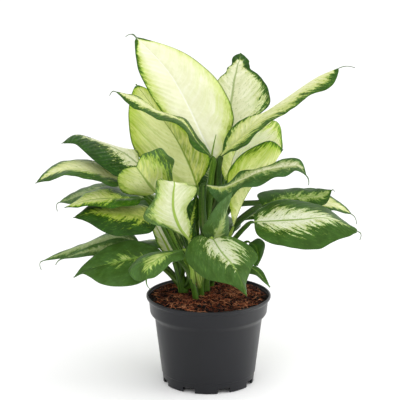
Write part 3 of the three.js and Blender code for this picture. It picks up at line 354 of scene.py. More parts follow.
list_leaf("left_back_1", "dark", "left", "-16 18 105, -37 16 161",
    "-68 16 185, -87 18 185, -106 20 184, -124 22 179, -137 22 174, -144 22 172",
    "-75 -2 181, -96 2 178, -115 6 175, -132 14 172", "-78 36 191, -97 40 188, -117 40 183, -135 32 178",
    "0.2 0.3 0.1, 0.3 0.4 0.1", 0.9, 0.8, thread=(-146, 22, 163), looks=("dull", "dull"))
list_leaf("left_4", "feather", "left", "-25 0 115, -37 -14 144",
    "-48 -26 164, -64 -30 171, -79 -34 175, -95 -40 178, -109 -44 179, -126 -50 176",
    "-55 -37 158, -77 -50 158, -97 -58 164, -115 -54 174", "-56 -8 175, -77 -8 179, -97 -16 181, -114 -34 182",
    "0.4 0.35 0.2 -0.2, 1.05 0.95 0.75 0.2 -0.2", 1.4, 0.9, wave=0.6, looks=("mottled", "green"),
    lime=((0.7, 0.7), (0.6, 0.6)))
list_leaf("left_low_back", "dark", "left", "-35 20 101, -51 20 118",
    "-66 18 131, -83 20 136, -101 22 135, -122 24 128, -142 26 120, -162 26 112",
    "-74 13 127, -91 13 126, -113 16 123, -136 20 117", "-75 34 138, -94 40 138, -120 36 127, -144 30 120",
    "0.4 0.5 0.3, 0.3 0.4 0.2", 0.7, 0.7, thread=(-163, 26, 103), looks=("dull", "dull"))
list_leaf("left_low_mid", "dark", "left", "-37 11 103, -50 7 116",
    "-65 4 130, -78 4 132, -93 4 132, -110 2 130, -127 0 126, -141 -2 122",
    "-70 -3 124, -89 -5 125, -110 -5 126, -129 -5 124", "-72 9 137, -87 9 140, -107 7 135, -125 3 129",
    "0.3 0.4 0.2, 0.3 0.4 0.2", 0.7, 0.7, thread=(-147, -2, 116), looks=("dull", "dull"))
list_leaf("left_low_front", "green", "front", "-19 -19 112, -24 -18 121, -33 -13 127",
    "-42 -10 129, -60 -14 128, -77 -18 126, -94 -22 123, -110 -26 120, -128 -30 112",
    "-54 -30 113, -78 -40 106, -101 -42 109, -118 -34 116", "-51 -7 136, -78 -6 142, -103 -12 133, -118 -22 123",
    "-0.2 0.05 0.1 -0.2 -0.3, -0.15 0.1 0.16 -0.1 -0.3", 1, 0.6, girth=(2.6, 1.8), tone=0.3)
list_leaf("curl_front", "feather", "front", "-16 -22 117, -20 -26 133",
    "-25 -30 139, -36 -40 138, -47 -52 137, -56 -62 131, -58 -66 121",
    "-23 -40 134, -34 -50 133, -42 -58 127, -51 -64 122", "-44 -28 136, -66 -38 134, -75 -50 125, -67 -62 118",
    "-0.3 0 0.35 0.25 -0.3, -0.3 0.1 0.4 0.2 -0.3", 1.1, 0.7, bulge=0.1, girth=(2.6, 1.6), thread=(-54, -64, 110),
    looks=("green", "green"), tone=0.75)
list_leaf("small_centre", "dark", "inner", "-4 -12 114, 1 -16 131",
    "4 -21 144, 9 -29 158, 14 -36 171, 18 -41 184, 22 -46 199", "-6 -31 157, 1 -43 175, 9 -49 190, 18 -49 197",
    "17 -20 148, 19 -28 164, 17 -37 181, 20 -43 192", "0.1 0.2 0.1 -0.1, 0.4 0.4 0.3 -0.1", 0.8, 0.8,
    girth=(2.8, 1.6), looks=("dull", "dark"), lime=((0.4, 0.4), (0.4, 0.4)), tone=0.6)
list_leaf("low_right", "green", "right", "9 4 107, 23 -14 119",
    "38 -24 121, 45 -28 118, 51 -32 112, 58 -36 104", "44 -22 121, 51 -26 117, 55 -32 111",
    "36 -30 117, 45 -34 115, 52 -36 109", "0.1 0.1 -0.1, -0.1 0 -0.2", 0.6, 0.5)
list_leaf("low_right_back", "dark", "right", "2 24 91, 21 14 121",
    "40 10 135, 45 6 133, 47 0 128, 48 -6 122, 47 -8 117", "48 16 138, 54 12 134, 53 4 127, 50 -4 122",
    "36 4 129, 38 -2 124, 42 -6 119, 44 -8 117", "-0.2 -0.1 -0.2, -0.2 -0.1 -0.2", 0.5, 0.4)
list_leaf("left_inner", "pale", "left", "-31 20 109",
    "-35 25 116, -42 28 130, -49 30 143, -56 31 159", "-47 28 123, -52 31 134, -56 33 146",
    "-27 28 127, -28 29 139, -37 27 156", "0.75 0.7 0.6, 1.05 1.05 0.9", 0.4, 0.5)
list_leaf("inner_centre", "dark", "main", "-14 -2 118",
    "-19 -7 135, -19 -8 153, -15 -6 169, -11 -4 186", "-23 -9 143, -24 -10 159, -21 -9 175",
    "-11 -6 143, -13 -5 154, -8 -1 164, -8 -1 175", "0.1 0.2 0 -0.2, 0.3 0.4 0.2 -0.2", 0.9, 0.8,
    looks=("mottled", "dark"), lime=((0.8, 0.8), (0.8, 0.8)))
list_leaf("rear_left_high", "feather", "main", "-9 12 128, -12 22 164",
    "-14 30 196, -26 54 212, -42 80 219, -58 108 214", "-38 42 202, -58 68 210, -64 94 212",
    "-4 56 212, -14 84 220, -40 104 218", "0.4 0.5 0, 0.5 0.5 0", 1.2, 0.6)
list_leaf("rear_right_high", "lime", "right", "11 18 126, 15 26 158",
    "16 32 192, 28 56 205, 42 82 209, 58 110 200", "8 56 205, 18 84 210, 42 104 206",
    "38 44 196, 56 68 199, 60 94 200", "0.9 0.9 0.4, 0.9 0.9 0.4", 0.6, 0.7)
# rear_centre has the dark look on both faces instead of its own feathered one: painted shade where it lies behind
# the shoots
list_leaf("rear_centre", "feather", "main", "-7 18 116, -5 28 148",
    "0 36 176, 2 60 190, 3 90 194, 4 124 182", "-20 56 184, -24 84 188, -12 110 186",
    "22 56 184, 26 84 188, 16 110 186", "-0.1 0.3 -0.1, -0.1 0.3 -0.1", 1.3, 0.6, looks=("dark", "dark"))
list_leaf("rear_left_low", "dark", "left", "-27 20 124",
    "-26 34 158, -46 50 168, -68 68 168, -92 88 154", "-46 32 160, -72 48 160, -88 68 156",
    "-32 62 164, -52 84 162, -76 92 157", "0.3 0.35 0, 0.2 0.3 0", 1, 0.6)
list_leaf("rear_right_low", "green", "right", "8 26 112",
    "10 36 132, 12 62 142, 14 92 142, 16 122 126", "-6 58 138, -8 86 136, 4 110 130",
    "29 56 136, 32 84 134, 25 108 129", "0.1 0.2 -0.2, 0.1 0.2 -0.2", 1.1, 0.6)
list_leaf("rear_right_mid", "feather", "right", "9 22 124, 18 28 140",
    "30 34 150, 50 50 158, 72 70 156, 96 90 140", "38 52 154, 56 72 157, 76 88 150",
    "50 38 152, 72 54 154, 90 74 146", "0.3 0.45 0, 0.4 0.45 0", 1.2, 0.6)
list_leaf("rear_left_mid", "lime", "main", "-12 20 116, -19 30 132",
    "-22 40 142, -30 62 150, -38 88 147, -46 112 130", "-44 58 147, -56 82 144, -58 102 133",
    "-14 64 149, -18 90 146, -30 108 134", "0.8 0.8 0.4, 0.8 0.8 0.4", 0.6, 0.7)
list_leaf("rear_left_bottom", "green", "left", "-30 24 108",
    "-34 34 118, -50 52 124, -68 74 118, -82 96 100", "-54 40 122, -76 60 118, -86 82 106",
    "-38 58 122, -52 82 116, -70 98 104", "0.1 0.15 -0.2, 0.1 0.15 -0.2", 1, 0.6)


def mix(a, b, t):
    return a + (b - a) * t


def unit(vectors):
    return vectors / np.maximum(np.linalg.norm(vectors, axis=-1, keepdims=True), 1e-9)


def smooth(value, low, high):
    t = np.clip((value - low) / (high - low), 0, 1)
    return t * t * (3 - 2 * t)


def spline(points, shares):
    """A centripetal Catmull-Rom curve through the points, read at shares between 0 and 1 of its knots."""
    knots = np.asarray(points, float)
    last = len(knots) - 1
    padded = np.vstack([2 * knots[0] - knots[1], knots, 2 * knots[-1] - knots[-2]])
    place = np.asarray(shares, float) * last
    first = np.minimum(np.floor(place).astype(int), last - 1)
    t = (place - first)[:, None]
    p0, p1, p2, p3 = (padded[first + k] for k in range(4))
    d0, d1, d2 = (np.sum((b - a) ** 2, axis=1)[:, None] ** 0.25 for a, b in ((p0, p1), (p1, p2), (p2, p3)))
    start = ((p1 - p0) / d0 - (p2 - p0) / (d0 + d1) + (p2 - p1) / d1) * d1
    end = ((p2 - p1) / d1 - (p3 - p1) / (d1 + d2) + (p3 - p2) / d2) * d1
    square = 3 * (p2 - p1) - 2 * start - end
    cube = 2 * (p1 - p2) + start + end
    return p1 + start * t + square * t**2 + cube * t**3


def travelled(points):
    """How far along the line each of its points lies."""
    return np.concatenate([[0], np.cumsum(np.linalg.norm(np.diff(points, axis=0), axis=1))])


def even_points(points, count):
    """Points at even distances along the curve, and how far along each one lies."""
    fine = spline(points, np.linspace(0, 1, CURVE_SAMPLES))
    lengths = travelled(fine)
    wanted = np.linspace(0, lengths[-1], count)
    return np.stack([np.interp(wanted, lengths, fine[:, axis]) for axis in range(3)], axis=1), wanted


def ring(radius, count):
    """Points evenly round the Z axis, each as x and y."""
    turns = [2 * math.pi * k / count for k in range(count)]
    return [(radius * math.cos(turn), radius * math.sin(turn)) for turn in turns]


def spun(points, turn):
    """The points turned round the Z axis."""
    cosine, sine = math.cos(turn), math.sin(turn)
    return points @ np.array([[cosine, -sine, 0], [sine, cosine, 0], [0, 0, 1]]).T


def stacked(shape, *parts):
    """Vectors for every point of a grid, from their three parts."""
    return np.stack([np.broadcast_to(part, shape) for part in parts], axis=-1).reshape(-1, 3)


def joined(parts):
    """Several parts as one. Each part is its vertices, its faces and its layers."""
    vertices, faces, *layers = zip(*parts)
    offsets = np.cumsum([0] + [len(part) for part in vertices])
    merged = [[i + offset for i in face] for offset, part in zip(offsets, faces) for face in part]
    return np.concatenate(vertices), merged, *(np.concatenate(layer) for layer in layers)


def new_object(name, vertices, faces):
    """A mesh object from millimetre vertices."""
    mesh = bpy.data.meshes.new(name)
    mesh.from_pydata((np.asarray(vertices) * MM).tolist(), [], [list(map(int, face)) for face in faces])
    made = bpy.data.objects.new(name, mesh)
    bpy.context.scene.collection.objects.link(made)
    return made


def add_piece(name, vertices, faces, materials, layers, stands_for=(), face_slots=None):
    """A smooth mesh piece. Layers are vectors stored for its material."""
    piece = new_object(name, vertices, faces)
    mesh = piece.data
    mesh.polygons.foreach_set("use_smooth", [True] * len(faces))
    for key, values in layers.items():
        layer = mesh.attributes.new(key, "FLOAT_VECTOR", "POINT")
        layer.data.foreach_set("vector", np.asarray(values, np.float32).ravel())
    for material in materials:
        mesh.materials.append(material)
    if face_slots is not None:
        mesh.polygons.foreach_set("material_index", face_slots)
    mesh.update()
    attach(piece, "root")
    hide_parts(*stands_for)


def srgb(red, green, blue):
    """A colour written as 8-bit sRGB, as Blender's linear RGBA."""
    parts = (red / 255, green / 255, blue / 255)
    return (*(c / 12.92 if c <= 0.04045 else ((c + 0.055) / 1.055) ** 2.4 for c in parts), 1.0)


class Wire:
    """A value on its way from one node of a skin to the next. Arithmetic on it makes math nodes."""

    def __init__(self, skin, socket):
        self.skin = skin
        self.socket = socket

    def __add__(self, other):
        return self.skin.math("ADD", self, other)

    def __sub__(self, other):
        return self.skin.math("SUBTRACT", self, other)

    def __mul__(self, other):
        return self.skin.math("MULTIPLY", self, other)

    def __truediv__(self, other):
        return self.skin.math("DIVIDE", self, other)

    def __abs__(self):
        return self.skin.math("ABSOLUTE", self)

    def span(self, low, high, start=0.0, end=1.0):
        """A smooth step from start to end as the value goes from low to high."""
        return self.skin.node("MapRange", self, low, high, start, end, interpolation_type="SMOOTHSTEP")


class Skin:
    """A procedural material, built node by node. Its colours are 8-bit sRGB, more or less mixed with dull green."""

    def __init__(self, name, dull=0.0):
        self.dull = dull
        self.material = bpy.data.materials.new(name)
        self.material.use_nodes = True
        self.tree = self.material.node_tree
        self.shader = self.tree.nodes["Principled BSDF"]

    def put(self, socket, value):
        if isinstance(value, Wire):
            self.tree.links.new(value.socket, socket)
        else:
            socket.default_value = value

    def node(self, kind, *values, output=0, **settings):
        """A new node with its first inputs set or wired in order. The result is one of its outputs."""
        made = self.tree.nodes.new(f"ShaderNode{kind}")
        for key, value in settings.items():
            setattr(made, key, value)
        for socket, value in zip(made.inputs, values):
            self.put(socket, value)
        return Wire(self, made.outputs[output])

    def math(self, operation, *values):
        return self.node("Math", *values, operation=operation)

    def layer(self, name):
        """The three parts of the vectors that the mesh stores under this name."""
        stored = self.node("Attribute", output="Vector", attribute_name=name)
        parts = self.node("SeparateXYZ", stored).socket.node
        return [Wire(self, socket) for socket in parts.outputs]

    def place(self):
        return self.node("TexCoord", output="Object")

    def vector(self, x, y, z):
        return self.node("CombineXYZ", x, y, z)

    def noise(self, where, detail=2.0, roughness=0.5, scale=1.0):
        """Noise at a place, which may be given as its three parts. The noise node's second input isn't used."""
        if isinstance(where, tuple):
            where = self.vector(*where)
        return self.node("TexNoise", where, 0.0, scale, detail, roughness, output="Fac")

    def tint(self, colour):
        return tuple(mix(a, b, self.dull) for a, b in zip(srgb(*colour), srgb(*DULL_GREEN)))

    def ramp(self, value, stops):
        """Colours at rising positions between 0 and 1."""
        made = self.node("ValToRGB", value)
        elements = made.socket.node.color_ramp.elements
        while len(elements) < len(stops):
            elements.new(0.5)
        for element, (position, *colour) in zip(elements, stops):
            element.position = position
            element.color = self.tint(colour)
        return made

    def blend(self, share, under, over, kind="MIX"):
        """A share of one colour laid over another. The mix node takes colours at its seventh and eighth inputs."""
        made = self.node("Mix", share, output=2, data_type="RGBA", blend_type=kind)
        self.put(made.socket.node.inputs[6], under)
        self.put(made.socket.node.inputs[7], over if isinstance(over, Wire) else self.tint(over))
        return made

    def coat(self, colour, roughness, shine):
        for key, value in (("Base Color", colour), ("Roughness", roughness), ("Specular IOR Level", shine)):
            self.put(self.shader.inputs[key], value)

    def bump(self, height, strength, distance):
        made = self.node("Bump", strength, distance * MM)
        self.put(made.socket.node.inputs["Height"], height)
        self.put(self.shader.inputs["Normal"], made)


@functools.cache
def leaf_material(look, is_under):
    """A leaf face, made once for each look. The layers give the place on the blade in shares and in millimetres, and
    how far its pale middle reaches. The pale middle's border follows the side veins."""
    skin = Skin(f"leaf_{look}_{'under' if is_under else 'upper'}", UNDER_DULLNESS if is_under else 0.0)
    steps, marks = map(numbers, PALETTES[look])
    (wash_share, *wash_shade), (vein_share, *vein_shade), (rib_share, *rib_shade) = marks
    shades = [shade for _, *shade in steps]
    along_share, across_share, seed = skin.layer("leaf_at")
    along, across, _ = skin.layer("leaf_mm")
    reach, feather, specks = skin.layer("leaf_trait")
    lime, _, _ = skin.layer("leaf_tone")
    out = abs(across_share)
    away = abs(across)
    side = skin.math("GREATER_THAN", across, 0.0) * 9.0
    drift = skin.noise((along * 0.04, across * 0.04, seed), 1.0)
    bend = away * 0.8 + away * away * 0.012
    vein_at = along - bend + drift * 10.0 + side
    streaks = skin.noise((vein_at * 0.3, away * 0.06, seed + side), 3.0, 0.62)
    grain = skin.noise((vein_at * 0.9, away * 0.5, seed), 2.0, 0.6)
    blotch = skin.noise((vein_at * 0.2, away * 0.14, seed + 40.0))
    field = reach - out + feather * (streaks - 0.5) + specks * (grain + blotch - 1.0)
    stops = [((start + RAMP_SHIFT) * RAMP_SCALE, *shade) for start, *shade in steps]
    colour = skin.ramp((field + RAMP_SHIFT) * RAMP_SCALE, stops)
    # Loose specks: dark ones just inside the pale middle's border and pale ones just outside it
    speck = skin.noise((vein_at * 0.48, away * 0.4, seed + 70.0), 3.0, 0.6)
    strength = specks.span(0.2, 0.8)
    dark_speck = speck.span(0.56, 0.64) * field.span(0.36, 0.04, 0.0, 0.85)
    colour = skin.blend(dark_speck * strength, colour, shades[1])
    pale_speck = speck.span(0.43, 0.36) * field.span(-0.4, -0.06, 0.0, 0.7)
    colour = skin.blend(pale_speck * strength, colour, shades[2])
    # Broad yellow-green streaks on the pale middle, weaker near the midrib
    pale = field.span(0.0, 0.2)
    wash = skin.noise((vein_at * 0.11, away * 0.035, seed + side), 4.0, 0.68).span(0.4, 0.66)
    washed = wash * pale * out.span(0.1, 0.8, 0.2, 1.0)
    colour = skin.blend(washed * wash_share, colour, wash_shade)
    # Parts where the pale middle is a vivid yellow-green
    mottle = (grain * 0.5 + blotch).span(0.55, 0.95)
    colour = skin.blend(lime * pale, colour, skin.ramp(mottle, numbers(LIME_STOPS)))
    # Side veins, each a soft line along the border's direction, some stronger than others
    vein = abs(skin.math("FRACT", vein_at * (1 / VEIN_PITCH)) - 0.5).span(0.2, 0.5) * out.span(1.0, 0.4)
    vein = vein * field.span(-0.05, 0.15, DARK_VEINS, 1.0) * streaks.span(0.35, 0.6, 0.25, 1.0)
    colour = skin.blend(vein * vein_share, colour, vein_shade)
    # Broad light and dark clouds, weaker on the pale middle
    cloud = skin.noise((along * 0.09, across * 0.09, seed), 4.0, 0.62)
    shade = cloud.span(0.32, 0.68, pale.span(0.0, 1.0, 0.78, 0.94), pale.span(0.0, 1.0, 1.2, 1.03))
    colour = skin.blend(1.0, colour, skin.vector(shade, shade, shade * shade), "MULTIPLY")
    # The midrib, and the dark line along the edge
    rib_width = along_share.span(0.0, 1.0, RIB_MARK_UNDER if is_under else RIB_MARK_UPPER, RIB_MARK_AT_TIP)
    rib = (away / rib_width).span(1.25, 0.6) * field.span(-0.3, 0.15, 0.2, 1.0)
    colour = skin.blend(rib * rib_share, colour, rib_shade)
    colour = skin.blend(out.span(0.955, 0.99) * 0.7, colour, shades[0])
    gloss = UNDER_ROUGHNESS if is_under else UPPER_ROUGHNESS
    skin.coat(colour, cloud.span(0.2, 0.8, gloss - 0.05, gloss + 0.1), LEAF_SHINE)
    skin.put(skin.shader.inputs["Subsurface Weight"], LIGHT_THROUGH.get(look, 0.0))
    skin.put(skin.shader.inputs["Subsurface Radius"], LIGHT_SPREAD)
    skin.put(skin.shader.inputs["Subsurface Scale"], LIGHT_REACH)
    quilt = skin.math("SINE", vein_at * (2 * math.pi / VEIN_PITCH))
    ridge = VEIN_RIDGE if is_under else -VEIN_RIDGE
    skin.bump(quilt * ridge + grain * 0.25 + cloud * 0.9, 0.5, 0.5)
    return skin.material


def blade_surface(leaf, shares):
    """The middle surface of a blade as rows of points, with the widths of its left and right half."""
    rib = spline(leaf["rib"], shares)
    after, before = np.minimum(shares + DIRECTION_STEP, 1), np.maximum(shares - DIRECTION_STEP, 0)
    ahead = unit(spline(leaf["rib"], after) - spline(leaf["rib"], before))
    least = mix(BASE_HALF_WIDTH, TIP_HALF_WIDTH, shares)
    inner = np.clip(shares, END_SHARE, 1 - END_SHARE)
    at_end = shares != inner
    length = np.linalg.norm(np.subtract(leaf["rib"][-1], leaf["rib"][0]))
    middle = len(ACROSS) - 1
    rows = np.zeros((len(shares), 2 * middle + 1, 3))
    widths = []
    for side, sign, phase in (("left", -1, WAVE_PHASE_LEFT), ("right", 1, 0)):
        reach = spline([leaf["rib"][0], *leaf[side], leaf["rib"][-1]], inner) - spline(leaf["rib"], inner)
        width = np.where(at_end, least, np.maximum(np.linalg.norm(reach, axis=1), least))
        square = reach - ahead * np.sum(reach * ahead, axis=1)[:, None]
        reach = unit(np.where(at_end[:, None], square, reach)) * width[:, None]
        up = unit(np.cross(reach, ahead)) * sign
        flutter = np.array([
            noise.noise_vector(Vector((share * length * FLUTTER_PITCH, 5.0 * sign, leaf["rib"][0][0])))
            for share in shares
        ])
        swing = np.minimum(1, width / FULL_WAVE_WIDTH)
        wave = leaf["wave"] * np.sin(2 * math.pi * WAVES * shares + phase) * swing
        wave = wave + FLUTTER * flutter[:, 0] * swing
        reach = reach + unit(reach) * (leaf["ragged"] * flutter[:, 1] * swing)[:, None]
        for k, share in enumerate(ACROSS):
            lift = leaf["bulge"] * width * 4 * share * (1 - share) + wave * share**2
            rows[:, middle + sign * k] = rib + reach * share + up * lift[:, None]
        widths.append(width)
    return rows, widths


def thread_rows(rows, end):
    """A drip tip: more rows that narrow on past the blade's end to a point."""
    last = rows[-1]
    middle = len(last) // 2
    centre = last[middle]
    ahead = unit(centre - rows[-2][middle])
    bend = centre + ahead * np.linalg.norm(np.subtract(end, centre)) / 2
    made = []
    for t in np.linspace(0, 1, THREAD_ROWS + 1)[1:]:
        point = (1 - t) ** 2 * centre + 2 * t * (1 - t) * bend + t**2 * np.asarray(end, float)
        made.append(point + (last - centre) * mix(THREAD_ROOT_WIDTH, THREAD_END_WIDTH, t))
    return np.array(made)


def by_side(halves, shares, signed, near_rib):
    """Values that run from the base to the tip, one set on each half, blended at the midrib."""
    left, right = (np.interp(shares, np.linspace(0, 1, len(half)), half)[:, None] for half in halves)
    return mix(np.where(signed < 0, left, right), (left + right) / 2, near_rib)


def add_blade(leaf, materials, seed):
    """One fine leaf blade in place of its node: an upper and an under face, joined round the edge."""
    shares = np.linspace(0, 1, BLADE_ROWS + 1)
    rows, widths = blade_surface(leaf, shares)
    if leaf["thread"]:
        rows = np.concatenate([rows, thread_rows(rows, leaf["thread"])])
        shares = np.pad(shares, (0, THREAD_ROWS), constant_values=1)
        widths = [np.pad(width, (0, THREAD_ROWS), constant_values=TIP_HALF_WIDTH) for width in widths]
    count, columns = rows.shape[:2]
    middle = columns // 2
    signed = np.concatenate([-np.array(ACROSS[:0:-1]), np.array(ACROSS)])
    along_step, across_step = np.gradient(rows, axis=(0, 1))
    for end in (0, -1):
        along_step[end] = along_step[end, middle]
    normals = unit(np.cross(across_step, along_step))
    widths = np.where(signed < 0, *(width[:, None] for width in widths))
    across_mm = widths * signed
    near_rib = np.clip(1 - np.abs(across_mm) / RIB_HALF_WIDTH, 0, 1)
    thickness = mix(BLADE_HALF_THICKNESS, EDGE_HALF_THICKNESS, np.abs(signed) ** 2)
    depth = mix(RIB_DEPTH_AT_BASE, RIB_DEPTH_AT_TIP, shares)[:, None] * np.sqrt(near_rib)
    top = rows + normals * (thickness - RIB_DIP * near_rib)[..., None]
    under = rows - normals * (thickness + depth)[..., None]
    dark_tip = TIP_DARKNESS * smooth(shares, DARK_TIP_START, 1)[:, None]
    reach = by_side(leaf["reach"], shares, signed, near_rib) - dark_tip
    lime = by_side(leaf["lime"], shares, signed, near_rib)
    layers = {
        "leaf_at": (shares[:, None], signed, seed),
        "leaf_mm": (travelled(rows[:, middle])[:, None], across_mm, widths),
        "leaf_trait": (reach, leaf["feather"], leaf["specks"]),
        "leaf_tone": (lime, 0, 0),
    }
    layers = {key: np.tile(stacked(widths.shape, *parts), (2, 1)) for key, parts in layers.items()}
    faces, face_slots = [], []
    below = count * columns
    for i in range(count - 1):
        left = i * columns
        right = left + columns - 1
        for a in range(left, right):
            b = below + a
            faces += [(a, a + 1, a + columns + 1, a + columns), (b, b + columns, b + columns + 1, b + 1)]
            face_slots += [0, 1]
        faces.append((left, left + columns, below + left + columns, below + left))
        faces.append((right, below + right, below + right + columns, right + columns))
        face_slots += [0, 0]
    for a in range(columns - 1):
        b = (count - 1) * columns + a
        faces += [(a, below + a, below + a + 1, a + 1), (b, b + 1, below + b + 1, below + b)]
        face_slots += [0, 0]
    vertices = np.concatenate([top, under]).reshape(-1, 3)
    add_piece(f"blade_{leaf['name']}", vertices, faces, materials, layers, [f"leaf_{leaf['name']}"], face_slots)


def stem_material():
    """Leaf stalks and canes: streaked along their length, with a pale rim along the groove and painted shade towards
    their feet.
    """
    skin = Skin("green_stalk")
    along, turn, tone = skin.layer("stem_at")
    share, rim, _ = skin.layer("stem_form")
    streaks = skin.noise((along * 0.035, turn * 5.0, tone * 11.0), 3.0, 0.6)
    flecks = skin.noise((along * 0.6, turn * 9.0, tone), 2.0, 0.6)
    colour = skin.ramp(tone + (streaks - 0.5) * 0.9 + (flecks - 0.5) * 0.35, numbers(STALK_STOPS))
    colour = skin.blend(rim * 0.5, colour, STALK_RIM)
    # Painted shade: each stalk and the cane are darkened towards their foot, where they sit deep among the other
    # stalks
    foot = share.span(0.0, 0.35, 0.55, 1.0)
    colour = skin.blend(1.0, colour, skin.vector(foot, foot, foot), "MULTIPLY")
    skin.coat(colour, flecks.span(0.2, 0.8, 0.38, 0.52), STALK_SHINE)
    skin.bump(streaks, 0.35, 0.4)
    return skin.material


def tube(points, radii, facing, sides, groove, tone):
    """A closed tube as vertices, faces and layers. The groove runs along the side that faces the given way."""
    count = len(points)
    ahead = unit(np.gradient(points, axis=0))
    normal = facing - ahead[-1] * np.dot(facing, ahead[-1])
    normals = np.zeros_like(points)
    for i in range(count - 1, -1, -1):
        normal = normal - ahead[i] * np.dot(normal, ahead[i])
        normal = normal / max(np.linalg.norm(normal), 1e-9)
        normals[i] = normal
    sideways = np.cross(ahead, normals)
    angles = np.linspace(0, 2 * math.pi, sides, endpoint=False)
    off = np.abs((angles + math.pi) % (2 * math.pi) - math.pi)
    dent = np.exp(-((off / GROOVE_WIDTH) ** 2))
    rim = np.exp(-(((off - RIM_PLACE) / RIM_WIDTH) ** 2))
    share = np.linspace(0, 1, count)
    wing = np.clip(1.1 - 1.6 * share, 0.15, 1)[:, None]
    shape = 1 - groove * dent + RIM_RISE * groove * 3 * rim * wing
    out = normals[:, None] * np.cos(angles)[None, :, None] + sideways[:, None] * np.sin(angles)[None, :, None]
    vertices = (points[:, None] + out * (radii[:, None] * shape)[..., None]).reshape(-1, 3)
    at = stacked(shape.shape, travelled(points)[:, None], np.cos(angles), tone)
    form = stacked(shape.shape, share[:, None], rim * wing * min(1, groove * 3), 0)
    faces = []
    for i in range(0, (count - 1) * sides, sides):
        for k in range(sides):
            a, b = i + k, i + (k + 1) % sides
            faces.append((a, b, b + sides, a + sides))
    faces.append(range(sides - 1, -1, -1))
    faces.append(range((count - 1) * sides, count * sides))
    return vertices, faces, at, form


def cane_root(axis, leaf):
    """Where a stalk starts, inside its cane."""
    highest = axis[-1][2] - SHEATH_DROP / 2
    height = min(max(leaf["stalk"][0][2] - SHEATH_DROP, LOWEST_SHEATH_Z), highest)
    samples, _ = even_points(axis, CANE_SAMPLES + 1)
    return next(point for point in samples if point[2] >= height)


def add_shoot(name, axis, radii, material):
    """One shoot's cane and leaf stalks as fine tubes, in place of its node."""
    points, _ = even_points(axis, CANE_SAMPLES)
    swell = 1 + CANE_SWELL * np.maximum(0, np.sin(np.linspace(0, CANE_WAVES, CANE_SAMPLES))) ** 6
    radii = np.linspace(*radii, CANE_SAMPLES) * swell
    parts = [tube(points, radii, np.array([1.0, 0, 0]), CANE_SIDES, 0.0, CANE_TONE)]
    for leaf in (one for one in LEAVES if one["shoot"] == name):
        base = np.array(leaf["rib"][0], float)
        ahead = unit(spline(leaf["rib"], [END_SHARE])[0] - base)
        knee = [base - ahead * back for back in (STALK_KNEE, STALK_KNEE / 2, STALK_GAP)]
        points, travel = even_points([cane_root(axis, leaf), *leaf["stalk"], *knee], STALK_STEPS)
        radii = mix(*leaf["girth"], np.sqrt(travel / travel[-1]))
        radii = radii * mix(STALK_END_SHARE, 1, smooth(travel[-1] - travel, 0, STALK_END))
        edge = spline([leaf["rib"][0], *leaf["right"], leaf["rib"][-1]], [FACING_SHARE])[0]
        upper = unit(np.cross(edge - spline(leaf["rib"], [FACING_SHARE])[0], ahead))
        parts.append(tube(points, radii, upper, STALK_SIDES, STALK_GROOVE, leaf["tone"]))
    if name == "main":
        points, _ = even_points(numbers(SPEAR), SPEAR_STEPS)
        radii = np.linspace(*SPEAR_RADII, SPEAR_STEPS)
        parts.append(tube(points, radii, np.array([0, -1.0, 0]), SPEAR_SIDES, SPEAR_GROOVE, SPEAR_TONE))
    vertices, faces, at, form = joined(parts)
    layers = {"stem_at": at, "stem_form": form}
    add_piece(f"stalks_{name}", vertices, faces, [material], layers, [f"shoot_{name}"])


def pot_material():
    """Moulded plastic with a satin face, faint flow marks and light scuffs."""
    skin = Skin("pot_plastic_satin")
    where = skin.place()
    cloud = skin.noise(where, 3.0, 0.6, 22.0)
    grain = skin.noise(where, scale=900.0)
    marks = skin.noise(skin.node("Mapping", where, (0, 0, 0), (0, 0, 0), (160.0, 160.0, 18.0)))
    rough = cloud.span(0.3, 0.7, 0.34, 0.44) + (marks - 0.5) * 0.12
    skin.coat(skin.ramp(cloud, numbers(POT_STOPS)), rough, POT_SHINE)
    skin.bump(grain * 0.5 + marks * 0.5, 0.12, 0.12)
    return skin.material


def rounded(corners):
    """A section whose sharp corners are replaced by small arcs. Each corner is radius, height and rounding."""
    made = []
    for i, (radius, height, rounding) in enumerate(corners):
        here = np.array([radius, height])
        if rounding == 0:
            made.append(here)
            continue
        ends = []
        for beside in (corners[i - 1], corners[(i + 1) % len(corners)]):
            step = np.array(beside[:2]) - here
            ends.append(here + unit(step) * min(rounding, 0.45 * np.linalg.norm(step)))
        for t in np.linspace(0, 1, 5):
            made.append((1 - t) ** 2 * ends[0] + 2 * t * (1 - t) * here + t**2 * ends[1])
    return made


def lathe(name, section, segments):
    """A mesh turned round the Z axis. The section's first and last points lie on the axis."""
    rings = section[1:-1]
    vertices = [(0, 0, section[0][1])]
    for radius, height in rings:
        vertices += [(x, y, height) for x, y in ring(radius, segments)]
    last = len(vertices)
    vertices.append((0, 0, section[-1][1]))
    faces = []
    for k in range(segments):
        after = (k + 1) % segments
        faces.append((0, 1 + after, 1 + k))
        for a in range(1, last - segments, segments):
            faces.append((a + k, a + after, a + segments + after, a + segments + k))
        faces.append((last - segments + k, last - segments + after, last))
    return new_object(name, vertices, faces)


def prism(outline, low, high):
    """An upright solid to cut with, as vertices and faces in millimetres."""
    count = len(outline)
    vertices = [(x, y, z) for z in (low, high) for x, y in outline]
    faces = [(k, (k + 1) % count, count + (k + 1) % count, count + k) for k in range(count)]
    return vertices, [*faces, range(count - 1, -1, -1), range(count, 2 * count)]


